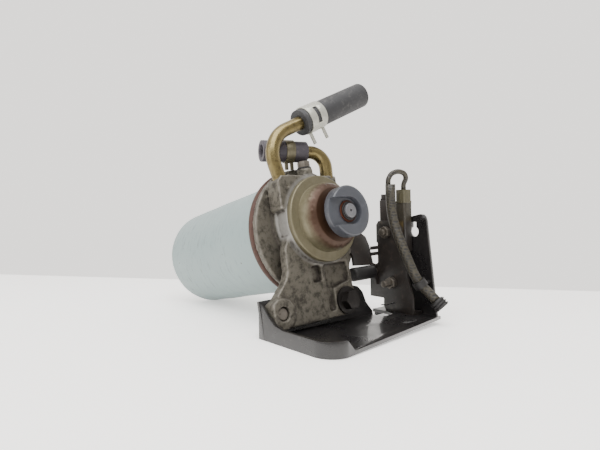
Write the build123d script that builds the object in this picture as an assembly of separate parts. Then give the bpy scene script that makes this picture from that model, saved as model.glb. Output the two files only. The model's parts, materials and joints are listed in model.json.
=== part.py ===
from build123d import *
import os
from math import cos, pi, radians, sin

# Diesel fuel filter assembly lying at rest: canister, head, hand priming pump and brackets.
# Pieces are drawn in the filter's own frame: +Z from the canister towards the pump knob, +Y up
# through the fuel tubes, origin on the front face of the head's flange. Lengths in millimetres.

# How the assembly lies
TILT = 11.5                      # the canister's far end drops by this angle
ROLL = 3.0                       # turn about the canister axis, right side raised

# Canister
CAN_RADIUS = 40.0
CAN_DEPTH = 144.0                # flange face to the canister's closed end
CAN_WALL = 1.0
CAN_END_ROUND = 8.0
SEAM_RADIUS = 45.6
GASKET_INNER = 31.0
GASKET_OUTER = 37.0
GASKET_THICK = 3.0
GROOVE_GAP = 0.1                 # gasket to the sides of its groove
PLATE_THICK = 3.8                # tapping plate
PAPER_OUTER = 33.0
PAPER_INNER = 17.0
PAPER_LENGTH = 98.0
PLEATS = 36
TUBE_WALL = 0.8                  # centre tube
CENTRE_TUBE_RADIUS = 14.6
CAP_THICK = 0.9
SPRING_WIRE = 1.8                # element support spring

# Head
FLANGE_RADIUS = 45.3
FLANGE_THICK = 4.0
SEAM_GAP = 0.4                   # between flange and canister seam
NIPPLE_RADIUS = 10.0             # M20 x 1.5
NIPPLE_BORE = 6.2
NIPPLE_REACH = 16.0              # behind the flange's front face
BARREL_RADIUS = 30.0
BARREL_HEIGHT = 17.0
PUMP_OFFSET = 6.0                # pump axis above the canister axis
CHAMBER_RADIUS = 22.0
CHAMBER_FLOOR = 11.0
BLOCK_TOP = 37.0                 # gallery block across the head
BLOCK_LEFT = -33.0
BLOCK_RIGHT = 22.6
BLOCK_BACK = 2.0
BLOCK_FRONT = 16.0
BOLT_RADIUS = 4.0                # M8
BOLT_CLEARANCE = 0.4
BOLT_LEFT = -43.7
BOLT_RIGHT = 14.3
BOLT_ROW = -52.0                 # height of both bracket bolts
BOSS_RADIUS = 9.8
FOOT_BACK = 5.0
FOOT_FRONT = 12.0
LEFT_BOSS_FRONT = 15.0

# Fuel tubes and hoses
TUBE_RADIUS = 4.75
TUBE_BORE = 3.75
HOSE_BORE = 4.5                  # where the hose is not stretched over its tube
TUBE_SEAT_DEPTH = 9.0
LONG_HOSE_RADIUS = 9.2
LONG_HOSE_LENGTH = 66.0
SHORT_HOSE_RADIUS = 7.5
SHORT_HOSE_LENGTH = 33.0
CLAMP_THICK = 0.8
LONG_CLAMP_WIDTH = 15.0
SHORT_CLAMP_WIDTH = 6.4
TUBE_DEPTH = 9.5                 # tube plane in front of the flange face
LEFT_TUBE_FOOT = (-25.0, 28.0, TUBE_DEPTH)
LEFT_TUBE_CORNER = (-32.4, 63.1, TUBE_DEPTH - 1.0)
LEFT_TUBE_RUN = (0.918, 0.384, 0.110)
LEFT_TUBE_BEND = 22.0
LEFT_HOSE_START = 32.0           # distance from the tube's corner
RIGHT_TUBE_FOOT = (16.5, 28.0, TUBE_DEPTH)
RIGHT_TUBE_CORNER = (18.5, 55.5, TUBE_DEPTH)
RIGHT_TUBE_RUN = (-0.947, 0.080, -0.312)
RIGHT_TUBE_BEND = 11.5
RIGHT_HOSE_START = 15.0
TUBE_LAP = 17.0                  # tube length inside its hose

# Bleed plug
BLEED_X = -3.5
BLEED_BOSS_TOP = 42.5
BLEED_BOSS_RADIUS = 5.6
BLEED_SHANK = 2.95
BLEED_HOLE = 3.0
BLEED_WASHER_THICK = 0.9
BLEED_WASHER_RADIUS = 5.0
BLEED_HEAD_HEIGHT = 4.6
BLEED_HEAD_FLATS = 8.0
BLEED_LIFT = 2.0

# Check valves in the head
VALVE_OFFSET = 12.0
CARTRIDGE_RADIUS = 5.5
CARTRIDGE_BORE = 4.2
CARTRIDGE_HEIGHT = 7.0
SEAT_THICK = 1.5
SEAT_HOLE = 2.2
DISC_RADIUS = 3.6
DISC_THICK = 1.2

# Priming pump
COVER_RADIUS = 29.9
COVER_WALL = 1.2
CRIMP_LIP = 28.6                 # barrel lip that the cover is crimped over
CRIMP_GROOVE_DEPTH = 2.0
DOME_RADIUS = 23.5
DOME_TOP = 31.0
DOME_FACE_RADIUS = 20.0
DIAPHRAGM_THICK = 0.8
STROKE = 5.0
DISC_PLATE_RADIUS = 13.0
DISC_PLATE_THICK = 1.2
DIAPHRAGM_CENTRE = 24.4          # rear face of the diaphragm's centre, knob out
ROD_RADIUS = 4.75
ROD_END = 44.0
ROD_STUB_RADIUS = 3.0
RUNNING_GAP = 0.05
BUSH_RADIUS = 8.0
BUSH_LENGTH = 4.0
SEAL_LENGTH = 1.6
KNOB_RADIUS = 16.8
KNOB_BACK = 36.5
KNOB_FRONT = 44.5
KNOB_RECESS = 4.0
KNOB_SLOT_WIDTH = 18.0
KNOB_ROUND = 1.4
WASHER_RADIUS = 7.2
CLIP_RADIUS = 6.2
PUMP_SPRING_RADIUS = 9.0
PUMP_SPRING_WIRE = 1.4

# Mounting bracket, drawn level with the floor and square to the head
SHEET = 2.3
BRACKET_LEFT = -54.5
BRACKET_RIGHT = 76.0
BRACKET_FRONT_LEFT = -78.0
BRACKET_FRONT_RIGHT = -57.0
BRACKET_REAR = -6.0
BACK_PLATE_TOP = -42.0
BACK_PLATE_RIGHT = 42.0
BASE_SLOPE = 1.5                 # base sheet drops to the right, against the roll
LIP_HEIGHT = 9.3
WALL_HEIGHT = 23.0               # left wall where it meets the back plate
BACK_FOLD = -12.0                # level place of the base's rear edge behind the foot
LIP_END = -36.0
NOTCH_LEFT = 43.0                # opening in the base between back plate and valve plate
NOTCH_RIGHT = 60.0
CORNER_ROUND = 13.0
WING_TOP = 9.5
KEYHOLE = (-36.5, -3.6)
KEYHOLE_RADIUS = 3.9
KEYHOLE_NECK = 2.0
KEYHOLE_RISE = 7.2
NUT_FLATS = 13.0
NUT_HEIGHT = 6.4

# Valve bracket and solenoid valves
VALVE_SHEET = 2.0
VALVE_PLATE_X = 62.0
STUD_RADIUS = 2.5                # M5
STUD_NUT_FLATS = 8.0
STUD_NUT_HEIGHT = 4.0
UPPER_STUD = (-19.5, -3.9)
LOWER_STUD = (-24.5, -42.0)
STUD_TIP = 51.0
UPPER_STUD_TIP = 55.5
PORT_Y = -7.0
PORT_Z = -34.9
PORT_PIPE_RADIUS = 3.0
PORT_CAP_RADIUS = 5.2
PORT_CAP_TIP = 36.0
VALVE_WIDTH = 9.2
VALVE_GAP = 0.2                  # between valve plate and valve bodies
VALVE_BODY_LOW = -18.0
FRONT_VALVE_Y = -30.8
REAR_VALVE_Y = -15.2
FRONT_VALVE_TOP = 18.0
REAR_VALVE_TOP = 20.5
ARMATURE_TRAVEL = 1.0

# Wiring lead held by its clip
SHEATH_RADIUS = 3.6
LOOP_RADIUS = 1.85
LEAD_ROUTE = [(55.4, -29.3, 32.0), (55.4, -29.3, 20.4), (55.4, -30.4, 9.4), (55.4, -33.8, -1.6),
              (55.6, -38.6, -12.3), (57.0, -42.8, -23.0), (59.8, -45.6, -33.0),
              (63.0, -48.6, -40.6), (65.0, -51.3, -44.2), (67.0, -56.6, -49.7),
              (67.8, -58.9, -52.2)]
LOOP_ROUTE = [(54.6, -28.0, 32.0), (54.6, -28.0, 35.6), (57.5, -28.6, 40.0), (62.5, -31.0, 41.8),
              (67.2, -33.4, 40.2), (69.4, -33.2, 36.2), (68.8, -31.0, 32.4), (68.8, -31.0, 28.0)]
PLUG_RADIUS = 5.6
PLUG_LENGTH = 6.6

LOW = (Align.CENTER, Align.CENTER, Align.MIN)
CORNER = (Align.MIN, Align.MIN, Align.MIN)
LEVEL = Rot(X=TILT - 90)         # turns level bracket drawings into the filter's frame


def rest_height():
    """Height of the flange centre when the canister's end rim touches the floor."""
    drop = (CAN_DEPTH - CAN_END_ROUND) * sin(radians(TILT))
    return drop + (CAN_RADIUS - CAN_END_ROUND) * cos(radians(TILT)) + CAN_END_ROUND


def floor_level(x, y=0.0):
    """Height of the floor in the level bracket frame at one place."""
    t, r = radians(TILT), radians(ROLL)
    side = x * sin(r) * cos(t) + y * sin(t) * cos(t) * (cos(r) - 1)
    return -(rest_height() + side) / (cos(t) ** 2 * cos(r) + sin(t) ** 2)


BASE_BOTTOM = floor_level(BRACKET_LEFT, BRACKET_FRONT_LEFT)
BASE_TOP = BASE_BOTTOM + SHEET
SLOPE = Pos(BRACKET_LEFT, 0, BASE_BOTTOM) * Rot(Y=BASE_SLOPE) * Pos(-BRACKET_LEFT, 0, 0)
RESTING = Pos(0, 0, rest_height()) * Rot(X=90 - TILT) * Rot(Z=ROLL)


def disc(radius, low, high, x=0.0, y=0.0):
    return Pos(x, y, low) * Cylinder(radius, high - low, align=LOW)


def ring(outer, inner, low, high, x=0.0, y=0.0):
    return disc(outer, low, high, x, y) - disc(inner, low - 1, high + 1, x, y)


def turned(points, x=0.0, y=0.0):
    """Solid of revolution about the z axis from (radius, height) points."""
    outline = Polyline(*[(r, 0, z) for r, z in points], close=True)
    return Pos(x, y, 0) * revolve(make_face(outline), Axis.Z)


def plate(points, low, high):
    """Flat plate from an outline in the xy plane."""
    face = make_face(Polyline(*points, close=True))
    return Pos(0, 0, low) * extrude(Plane.XY * face, high - low)


def side_plate(points, low, high):
    """Flat plate square to x from an outline of (y, z) points."""
    face = make_face(Polyline(*[(0, y, z) for y, z in points], close=True))
    return Pos(low, 0, 0) * extrude(face, high - low, dir=(1, 0, 0))


def rod_between(start, end, radius):
    run = Vector(*end) - Vector(*start)
    return Plane(origin=start, z_dir=run) * Cylinder(radius, run.length, align=LOW)


def hexagon(flats, low, high, x=0.0, y=0.0):
    outline = RegularPolygon(flats / 2, 6, major_radius=False)
    return Pos(x, y, low) * extrude(outline, high - low)


def along(start, run, distance):
    """Point at a distance from start in the direction of run."""
    step = Vector(*run).normalized() * distance
    return tuple(Vector(*start) + step)


def round_edges(part, radius, height, size, x=0.0, y=0.0):
    """Rounds the circular edges of one radius and height about an axis parallel to z."""
    picked = []
    for edge in part.edges().filter_by(GeomType.CIRCLE):
        centre = edge.arc_center
        near = abs(centre.X - x) + abs(centre.Y - y) + abs(centre.Z - height) < 0.01
        if near and abs(edge.radius - radius) < 0.01:
            picked.append(edge)
    return fillet(picked, size)


def coil(radius, wire, low, high, turns, x=0.0, y=0.0):
    """Round-wire coil spring standing between two faces."""
    height = high - low - wire
    path = Helix(pitch=height / turns, height=height, radius=radius)
    section = Plane(origin=path @ 0, z_dir=path % 0) * Circle(wire / 2)
    return Pos(x, y, low + wire / 2) * sweep(section, path=path)


def bent(points, bends, radius):
    """Round bar along straight runs joined by tangent arcs."""
    path = FilletPolyline(*points, radius=bends)
    section = Plane(origin=path @ 0, z_dir=path % 0) * Circle(radius)
    return sweep(section, path=path)


def route_radii(points):
    """Largest even bend at each corner of a route: 0.45 of the shorter run over tan(half turn)."""
    radii = []
    for before, corner, after in zip(points, points[1:], points[2:]):
        first = Vector(*corner) - Vector(*before)
        second = Vector(*after) - Vector(*corner)
        half = radians(first.get_angle(second)) / 2
        radii.append(0.45 * min(first.length, second.length) * cos(half) / sin(half))
    return radii


# ---------------------------------------------------------------- canister

SEAM_TOP = -FLANGE_THICK - SEAM_GAP
GASKET_FLOOR = -FLANGE_THICK - GASKET_THICK
PLATE_TOP = GASKET_FLOOR - 1.2
PLATE_BOTTOM = PLATE_TOP - PLATE_THICK
CAN_RIM = SEAM_TOP - 3.0
SEAL_THICK = 3.0
PAPER_TOP = PLATE_BOTTOM - SEAL_THICK - CAP_THICK
PAPER_BOTTOM = PAPER_TOP - PAPER_LENGTH


def filter_can():
    """Deep-drawn steel can with a flared rim that the seam holds."""
    end = -CAN_DEPTH
    body = disc(CAN_RADIUS, end, CAN_RIM)
    body = round_edges(body, CAN_RADIUS, end, CAN_END_ROUND)
    hollow = disc(CAN_RADIUS - CAN_WALL, end + CAN_WALL, CAN_RIM + 1)
    hollow = round_edges(hollow, CAN_RADIUS - CAN_WALL, end + CAN_WALL, CAN_END_ROUND - CAN_WALL)
    flare = ring(SEAM_RADIUS - 1.2, CAN_RADIUS - CAN_WALL, CAN_RIM - CAN_WALL, CAN_RIM)
    return body + flare - hollow


def can_retainer():
    """Stamped ring folded over the can's flare, with the gasket's groove in its face."""
    outer, fold = SEAM_RADIUS, CAN_RIM - CAN_WALL
    lip = SEAM_RADIUS - 1.2
    body = turned([
        (GASKET_INNER - 2, PLATE_TOP), (CAN_RADIUS - CAN_WALL, PLATE_TOP),
        (CAN_RADIUS - CAN_WALL, CAN_RIM), (lip, CAN_RIM), (lip, fold), (CAN_RADIUS + 1.6, fold),
        (CAN_RADIUS + 1.6, fold - 1.0), (outer - 1.2, fold - 1.0), (outer, fold + 0.2),
        (outer, SEAM_TOP - 1.2), (outer - 1.2, SEAM_TOP), (GASKET_OUTER, SEAM_TOP),
        (GASKET_OUTER, GASKET_FLOOR), (GASKET_INNER, GASKET_FLOOR), (GASKET_INNER, SEAM_TOP),
        (GASKET_INNER - 2, SEAM_TOP)])
    return body


def filter_gasket():
    """Rubber face gasket between the retainer's groove and the head's flange."""
    return ring(GASKET_OUTER - GROOVE_GAP, GASKET_INNER + GROOVE_GAP, GASKET_FLOOR + GROOVE_GAP / 4,
                -FLANGE_THICK)


def tapping_plate():
    """Steel plate with the threaded centre hole and a circle of inlet holes."""
    body = disc(CAN_RADIUS - CAN_WALL, PLATE_BOTTOM, PLATE_TOP)
    body -= disc(NIPPLE_RADIUS + RUNNING_GAP, PLATE_BOTTOM - 1, PLATE_TOP + 1)
    hole = disc(3.0, PLATE_BOTTOM - 1, PLATE_TOP + 1, x=22.0)
    for turn in range(8):
        body -= Rot(Z=45 * turn) * hole
    return body


def pleated_ring(outer, inner, step):
    points = []
    for corner in range(2 * PLEATS):
        radius = outer if corner % 2 == 0 else inner
        angle = pi * corner / PLEATS
        points.append(((radius - step) * cos(angle), (radius - step) * sin(angle)))
    return points


def filter_paper():
    """Pleated paper pack between the end caps."""
    pack = plate(pleated_ring(PAPER_OUTER, PAPER_INNER + 2.4, 0), PAPER_BOTTOM, PAPER_TOP)
    return pack - plate(pleated_ring(PAPER_OUTER, PAPER_INNER + 2.4, 2.4),
                        PAPER_BOTTOM - 1, PAPER_TOP + 1)


def centre_tube():
    """Perforated tube that carries the paper's inner folds."""
    body = ring(CENTRE_TUBE_RADIUS, CENTRE_TUBE_RADIUS - TUBE_WALL, PAPER_BOTTOM, PAPER_TOP)
    for row in range(6):
        height = PAPER_BOTTOM + PAPER_LENGTH * (row + 0.5) / 6
        cross = Pos(0, 0, height) * Rot(Y=90) * Cylinder(2.0, 2 * PAPER_OUTER)
        body -= Rot(Z=45 * (row % 2)) * cross
        body -= Rot(Z=45 * (row % 2) + 90) * cross
    return body


def end_cap(low, collar, hole):
    """Steel end cap: flat disc with an outer rim that holds the paper."""
    high = low + CAP_THICK
    rim_low, rim_high = (low, high + 3) if collar > 0 else (low - 3, high)
    body = disc(PAPER_OUTER + 1.4, low, high)
    body += ring(PAPER_OUTER + 1.4, PAPER_OUTER + 0.5, rim_low, rim_high)
    if hole > 0:
        body -= disc(hole, low - 1, high + 1)
    return body


def upper_end_cap():
    return end_cap(PAPER_TOP, -1, NIPPLE_RADIUS + 1.5)


def lower_end_cap():
    return end_cap(PAPER_BOTTOM - CAP_THICK, 1, 0)


def element_seal():
    """Rubber ring between the upper end cap and the tapping plate, round the nipple."""
    return ring(NIPPLE_RADIUS + 5, NIPPLE_RADIUS + 1.5, PAPER_TOP + CAP_THICK, PLATE_BOTTOM)


def support_spring():
    """Coil spring that holds the element against its seal."""
    return coil(20.0, SPRING_WIRE, -CAN_DEPTH + CAN_WALL, PAPER_BOTTOM - CAP_THICK, 3)


# ---------------------------------------------------------------- head

def tube_run(foot, corner, run, hose_start):
    return [foot, corner, along(corner, run, hose_start + TUBE_LAP)]


def foot_outline():
    """Web from the pump barrel down to the two bolt bosses."""
    low = BOLT_ROW - BOSS_RADIUS
    return [(-29, -4), (-33, -12), (-33.5, -26), (-36, -31.5), (-42, -38),
            (BOLT_LEFT - BOSS_RADIUS + 2.4, BOLT_ROW + 5),
            (BOLT_LEFT - BOSS_RADIUS + 0.4, BOLT_ROW), (BOLT_LEFT - 1.5, low),
            (BOLT_RIGHT + 1.5, low), (BOLT_RIGHT + BOSS_RADIUS - 0.6, BOLT_ROW - 4),
            (BOLT_RIGHT + BOSS_RADIUS - 0.6, BOLT_ROW + 6), (23, -30), (27, -12)]


def foot():
    """Cast foot with a recessed right half and two bosses."""
    body = plate(foot_outline(), FOOT_BACK, FOOT_FRONT)
    body += disc(BOSS_RADIUS, FOOT_BACK, LEFT_BOSS_FRONT, BOLT_LEFT, BOLT_ROW)
    body += disc(BOSS_RADIUS, FOOT_BACK, FOOT_FRONT, BOLT_RIGHT, BOLT_ROW)
    pocket = plate([(-13, -25), (-13, -36), (-5, -36), (-5, -25)], FOOT_FRONT - 4, FOOT_FRONT + 1)
    recess = plate([(-2, -25), (-2, -57), (4, -57), (4, -42), (20, -38), (20, -25)],
                   FOOT_FRONT - 3, FOOT_FRONT + 1)
    body += plate([(-27, -20), (-27, -6), (27, -6), (27, -20)], 0, FOOT_FRONT)
    beside_wall = Pos(BRACKET_LEFT + SHEET + 1.1, 0, 0) * Box(
        60, 400, 80, align=(Align.MAX, Align.CENTER, Align.CENTER))
    return body - pocket - recess - beside_wall


def gallery_block():
    """Cross block on the head that takes both fuel tubes and the bleed plug."""
    body = plate([(BLOCK_LEFT, 14), (BLOCK_LEFT, BLOCK_TOP - 4), (BLOCK_LEFT + 4, BLOCK_TOP),
                  (BLOCK_RIGHT - 1, BLOCK_TOP), (BLOCK_RIGHT, BLOCK_TOP - 2), (BLOCK_RIGHT, 14)],
                 BLOCK_BACK, BLOCK_FRONT)
    upright_edges = body.edges().filter_by(Axis.Y).sort_by(Axis.X)[-2:]
    body = fillet(upright_edges, 5.6)
    boss = rod_between((BLEED_X, BLOCK_TOP - 4, TUBE_DEPTH), (BLEED_X, BLEED_BOSS_TOP, TUBE_DEPTH),
                       BLEED_BOSS_RADIUS)
    return body + boss


def head_passages():
    """Drilled fuel ways from the tubes through the pump valves to the canister."""
    left = along(LEFT_TUBE_FOOT, (0, -1, 0), -3)
    inlet_turn = (-VALVE_OFFSET, left[1], TUBE_DEPTH)
    inlet_valve = (-VALVE_OFFSET, PUMP_OFFSET, CHAMBER_FLOOR - CARTRIDGE_HEIGHT - 1.5)
    outlet_valve = (VALVE_OFFSET, PUMP_OFFSET, CHAMBER_FLOOR)
    cuts = rod_between(left, inlet_turn, 2.4)
    cuts += rod_between(inlet_turn, inlet_valve, 2.0)
    cuts += rod_between(outlet_valve, (VALVE_OFFSET, PUMP_OFFSET + 6, -FLANGE_THICK), 2.4)
    cuts += rod_between((2, 3, 1.0), RIGHT_TUBE_FOOT, 2.2)
    cuts += disc(NIPPLE_BORE, -FLANGE_THICK, 3.0)
    return cuts


def filter_head():
    """Cast aluminium head: flange, pump barrel, gallery block and foot in one casting."""
    groove_low = BARREL_HEIGHT - 2 * CRIMP_GROOVE_DEPTH
    body = disc(FLANGE_RADIUS, -FLANGE_THICK, 0)
    body = round_edges(body, FLANGE_RADIUS, 0, 0.8)
    body += disc(BARREL_RADIUS + 1, 0, 4, y=PUMP_OFFSET)
    body += disc(BARREL_RADIUS, 0, groove_low + 2, y=PUMP_OFFSET)
    body += gallery_block() + foot()
    body -= ring(BARREL_RADIUS + 12, CRIMP_LIP, BARREL_HEIGHT - CRIMP_GROOVE_DEPTH,
                 BARREL_HEIGHT + 1, y=PUMP_OFFSET)
    body += disc(CRIMP_LIP, 0, BARREL_HEIGHT, y=PUMP_OFFSET)
    body -= disc(CHAMBER_RADIUS, CHAMBER_FLOOR, BARREL_HEIGHT + 1, y=PUMP_OFFSET)
    for side in (-1, 1):
        body -= disc(CARTRIDGE_RADIUS, CHAMBER_FLOOR - CARTRIDGE_HEIGHT, BARREL_HEIGHT,
                     side * VALVE_OFFSET, PUMP_OFFSET)
    body -= disc(NIPPLE_RADIUS, -FLANGE_THICK - 1, 1.0)
    body -= ring(28.0, NIPPLE_RADIUS + 3.5, -FLANGE_THICK - 1, -1.2)
    body -= head_passages()
    for x in (BOLT_LEFT, BOLT_RIGHT):
        body -= disc(BOLT_RADIUS + BOLT_CLEARANCE, FOOT_BACK - 1, LEFT_BOSS_FRONT + 1, x, BOLT_ROW)
    body -= rod_between(LEFT_TUBE_FOOT, LEFT_TUBE_CORNER, TUBE_RADIUS)
    body -= rod_between(RIGHT_TUBE_FOOT, RIGHT_TUBE_CORNER, TUBE_RADIUS)
    body -= rod_between((BLEED_X, BLOCK_TOP - 6, TUBE_DEPTH),
                        (BLEED_X, BLEED_BOSS_TOP + 1, TUBE_DEPTH), BLEED_HOLE)
    return body


def filter_nipple():
    """Hollow threaded nipple that the canister screws on to."""
    return ring(NIPPLE_RADIUS, NIPPLE_BORE, -NIPPLE_REACH, 1.0)


def fuel_tube(foot, corner, run, bend, hose_start):
    points = tube_run(foot, corner, run, hose_start)
    return bent(points, bend, TUBE_RADIUS) - bent(points, bend, TUBE_BORE)


def left_fuel_tube():
    return fuel_tube(LEFT_TUBE_FOOT, LEFT_TUBE_CORNER, LEFT_TUBE_RUN, LEFT_TUBE_BEND,
                     LEFT_HOSE_START)


def right_fuel_tube():
    return fuel_tube(RIGHT_TUBE_FOOT, RIGHT_TUBE_CORNER, RIGHT_TUBE_RUN, RIGHT_TUBE_BEND,
                     RIGHT_HOSE_START)


def hose(corner, run, start, length, outer):
    """Hose end pushed over its tube as far as TUBE_LAP, open at the other end."""
    first = along(corner, run, start)
    lap = along(corner, run, start + TUBE_LAP)
    last = along(corner, run, start + length)
    body = rod_between(first, last, outer) - rod_between(first, lap, TUBE_RADIUS)
    return body - rod_between(lap, last, HOSE_BORE)


def long_hose():
    return hose(LEFT_TUBE_CORNER, LEFT_TUBE_RUN, LEFT_HOSE_START, LONG_HOSE_LENGTH,
                LONG_HOSE_RADIUS)


def short_hose():
    return hose(RIGHT_TUBE_CORNER, RIGHT_TUBE_RUN, RIGHT_HOSE_START, SHORT_HOSE_LENGTH,
                SHORT_HOSE_RADIUS)


def spring_clamp(inner, width, tang):
    """Spring band clamp about the z axis, window towards -x and tangs towards -y."""
    band = ring(inner + CLAMP_THICK, inner, 0, width)
    band -= Pos(-1.5 * inner, 0, width / 2) * Box(3 * inner, 1.25 * inner, 0.24 * width)
    for end in (1.2, width - 1.2):
        low = -inner - CLAMP_THICK - tang
        band += Pos(0, low, end) * Box(1.2, tang + 0.4, 2.4,
                                       align=(Align.CENTER, Align.MIN, Align.CENTER))
    return band


def clamp_on(corner, run, distance, clamp, turn):
    seat = Plane(origin=along(corner, run, distance), x_dir=(0, 0, 1), z_dir=run)
    return seat * (Rot(Z=turn) * clamp)


def long_hose_clamp():
    clamp = spring_clamp(LONG_HOSE_RADIUS, LONG_CLAMP_WIDTH, 8.0)
    return clamp_on(LEFT_TUBE_CORNER, LEFT_TUBE_RUN, LEFT_HOSE_START + 4.0, clamp, 180)


def short_hose_clamp():
    clamp = spring_clamp(SHORT_HOSE_RADIUS, SHORT_CLAMP_WIDTH, 5.0)
    return clamp_on(RIGHT_TUBE_CORNER, RIGHT_TUBE_RUN, RIGHT_HOSE_START + 10.0, clamp, 0)


# ---------------------------------------------------------------- bleed plug

def upright(part, height):
    """Stands a part drawn along z on the gallery block at the bleed plug's place."""
    return Pos(BLEED_X, height, TUBE_DEPTH) * (Rot(X=-90) * part)


def bleed_washer():
    body = ring(BLEED_WASHER_RADIUS, BLEED_SHANK + RUNNING_GAP, 0, BLEED_WASHER_THICK)
    return upright(body, BLEED_BOSS_TOP)


def bleed_plug():
    """Hexagon-headed bleed screw."""
    shank = BLEED_BOSS_TOP + BLEED_WASHER_THICK - BLOCK_TOP + 4
    body = disc(BLEED_SHANK, -shank, 0)
    body += hexagon(BLEED_HEAD_FLATS, 0, BLEED_HEAD_HEIGHT)
    body = body & turned([(0, -shank), (6, -shank), (6, BLEED_HEAD_HEIGHT - 1.2),
                          (3.4, BLEED_HEAD_HEIGHT), (0, BLEED_HEAD_HEIGHT)])
    return upright(body, BLEED_BOSS_TOP + BLEED_WASHER_THICK)


# ---------------------------------------------------------------- check valves

CARTRIDGE_LOW = CHAMBER_FLOOR - CARTRIDGE_HEIGHT
INLET_DISC_LOW = CARTRIDGE_LOW + SEAT_THICK
OUTLET_DISC_HIGH = CHAMBER_FLOOR - SEAT_THICK


def cartridge(side):
    """Pressed valve cartridge: seat, bore and spring stop in one sleeve."""
    x, y = side * VALVE_OFFSET, PUMP_OFFSET
    body = disc(CARTRIDGE_RADIUS, CARTRIDGE_LOW, CHAMBER_FLOOR, x, y)
    body -= disc(CARTRIDGE_BORE, INLET_DISC_LOW, OUTLET_DISC_HIGH, x, y)
    return body - disc(SEAT_HOLE, CARTRIDGE_LOW - 1, CHAMBER_FLOOR + 1, x, y)


def inlet_valve_disc():
    return disc(DISC_RADIUS, INLET_DISC_LOW, INLET_DISC_LOW + DISC_THICK,
                -VALVE_OFFSET, PUMP_OFFSET)


def outlet_valve_disc():
    return disc(DISC_RADIUS, OUTLET_DISC_HIGH - DISC_THICK, OUTLET_DISC_HIGH,
                VALVE_OFFSET, PUMP_OFFSET)


def inlet_valve_spring():
    return coil(2.8, 0.45, INLET_DISC_LOW + DISC_THICK, OUTLET_DISC_HIGH, 2,
                -VALVE_OFFSET, PUMP_OFFSET)


def outlet_valve_spring():
    return coil(2.8, 0.45, INLET_DISC_LOW, OUTLET_DISC_HIGH - DISC_THICK, 2,
                VALVE_OFFSET, PUMP_OFFSET)


# ---------------------------------------------------------------- priming pump

OUTER_PLATE_LOW = DIAPHRAGM_CENTRE + DIAPHRAGM_THICK
ROD_SHOULDER = OUTER_PLATE_LOW + DISC_PLATE_THICK
INNER_PLATE_LOW = DIAPHRAGM_CENTRE - DISC_PLATE_THICK
RECESS_FLOOR = KNOB_FRONT - KNOB_RECESS


def pump_cover():
    """Stamped cover: crimped skirt, flange and rounded dome with a bush hole."""
    high = BARREL_HEIGHT + DIAPHRAGM_THICK
    top = high + COVER_WALL
    shell = disc(COVER_RADIUS, BARREL_HEIGHT - CRIMP_GROOVE_DEPTH, top, y=PUMP_OFFSET)
    shell = round_edges(shell, COVER_RADIUS, top, 1.1, y=PUMP_OFFSET)
    dome = turned([(0, top - 0.5), (DOME_RADIUS, top - 0.5), (DOME_RADIUS, top + 4.5),
                   (DOME_RADIUS - 1.0, top + 8.0), (DOME_FACE_RADIUS + 0.8, DOME_TOP - 1.4),
                   (DOME_FACE_RADIUS - 1.6, DOME_TOP), (0, DOME_TOP)], y=PUMP_OFFSET)
    wall = COVER_WALL
    hollow = turned([(0, BARREL_HEIGHT - 3), (CRIMP_LIP, BARREL_HEIGHT - 3), (CRIMP_LIP, high),
                     (DOME_RADIUS - wall, high), (DOME_RADIUS - wall, top + 4.2),
                     (DOME_RADIUS - wall - 1, top + 7.6),
                     (DOME_FACE_RADIUS - 0.6, DOME_TOP - wall - 0.8),
                     (DOME_FACE_RADIUS - 2.2, DOME_TOP - wall), (0, DOME_TOP - wall)], y=PUMP_OFFSET)
    return shell + dome - hollow - disc(BUSH_RADIUS, DOME_TOP - 3, DOME_TOP + 1, y=PUMP_OFFSET)


def pump_diaphragm():
    """Rubberised fabric diaphragm, drawn up with the knob out."""
    thick = DIAPHRAGM_THICK
    centre = DIAPHRAGM_CENTRE
    return turned([(CRIMP_LIP, BARREL_HEIGHT), (CRIMP_LIP, BARREL_HEIGHT + thick),
                   (21.6, BARREL_HEIGHT + thick), (19.6, BARREL_HEIGHT + 2.0), (16.4, centre - 0.6),
                   (14.2, centre + thick), (ROD_STUB_RADIUS, centre + thick),
                   (ROD_STUB_RADIUS, centre), (14.0, centre), (15.6, centre - 1.4),
                   (18.8, BARREL_HEIGHT + 1.4), (21.2, BARREL_HEIGHT)], y=PUMP_OFFSET)


def diaphragm_plate(low):
    body = ring(DISC_PLATE_RADIUS, ROD_STUB_RADIUS, low, low + DISC_PLATE_THICK, y=PUMP_OFFSET)
    return body


def inner_diaphragm_plate():
    return diaphragm_plate(INNER_PLATE_LOW)


def outer_diaphragm_plate():
    return diaphragm_plate(OUTER_PLATE_LOW)


def plunger_rod():
    """Rod riveted through the diaphragm plates, its drilled end showing in the knob."""
    body = disc(ROD_RADIUS, ROD_SHOULDER, ROD_END, y=PUMP_OFFSET)
    body = round_edges(body, ROD_RADIUS, ROD_END, 0.5, y=PUMP_OFFSET)
    body += disc(ROD_STUB_RADIUS, INNER_PLATE_LOW - 0.5, ROD_SHOULDER, y=PUMP_OFFSET)
    body += disc(ROD_STUB_RADIUS + 1.6, INNER_PLATE_LOW - 1.6, INNER_PLATE_LOW, y=PUMP_OFFSET)
    return body - disc(0.9, ROD_END - 3, ROD_END + 1, y=PUMP_OFFSET)


def pump_spring():
    """Return spring between the chamber floor and the inner plate."""
    return coil(PUMP_SPRING_RADIUS, PUMP_SPRING_WIRE, CHAMBER_FLOOR, INNER_PLATE_LOW, 4,
                y=PUMP_OFFSET)


def rod_bush():
    """Guide bush in the dome, counterbored for the rod seal."""
    low = DOME_TOP - BUSH_LENGTH
    body = ring(BUSH_RADIUS, ROD_RADIUS + RUNNING_GAP, low, DOME_TOP, y=PUMP_OFFSET)
    return body - disc(BUSH_RADIUS - 1, low - 1, low + SEAL_LENGTH, y=PUMP_OFFSET)


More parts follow.
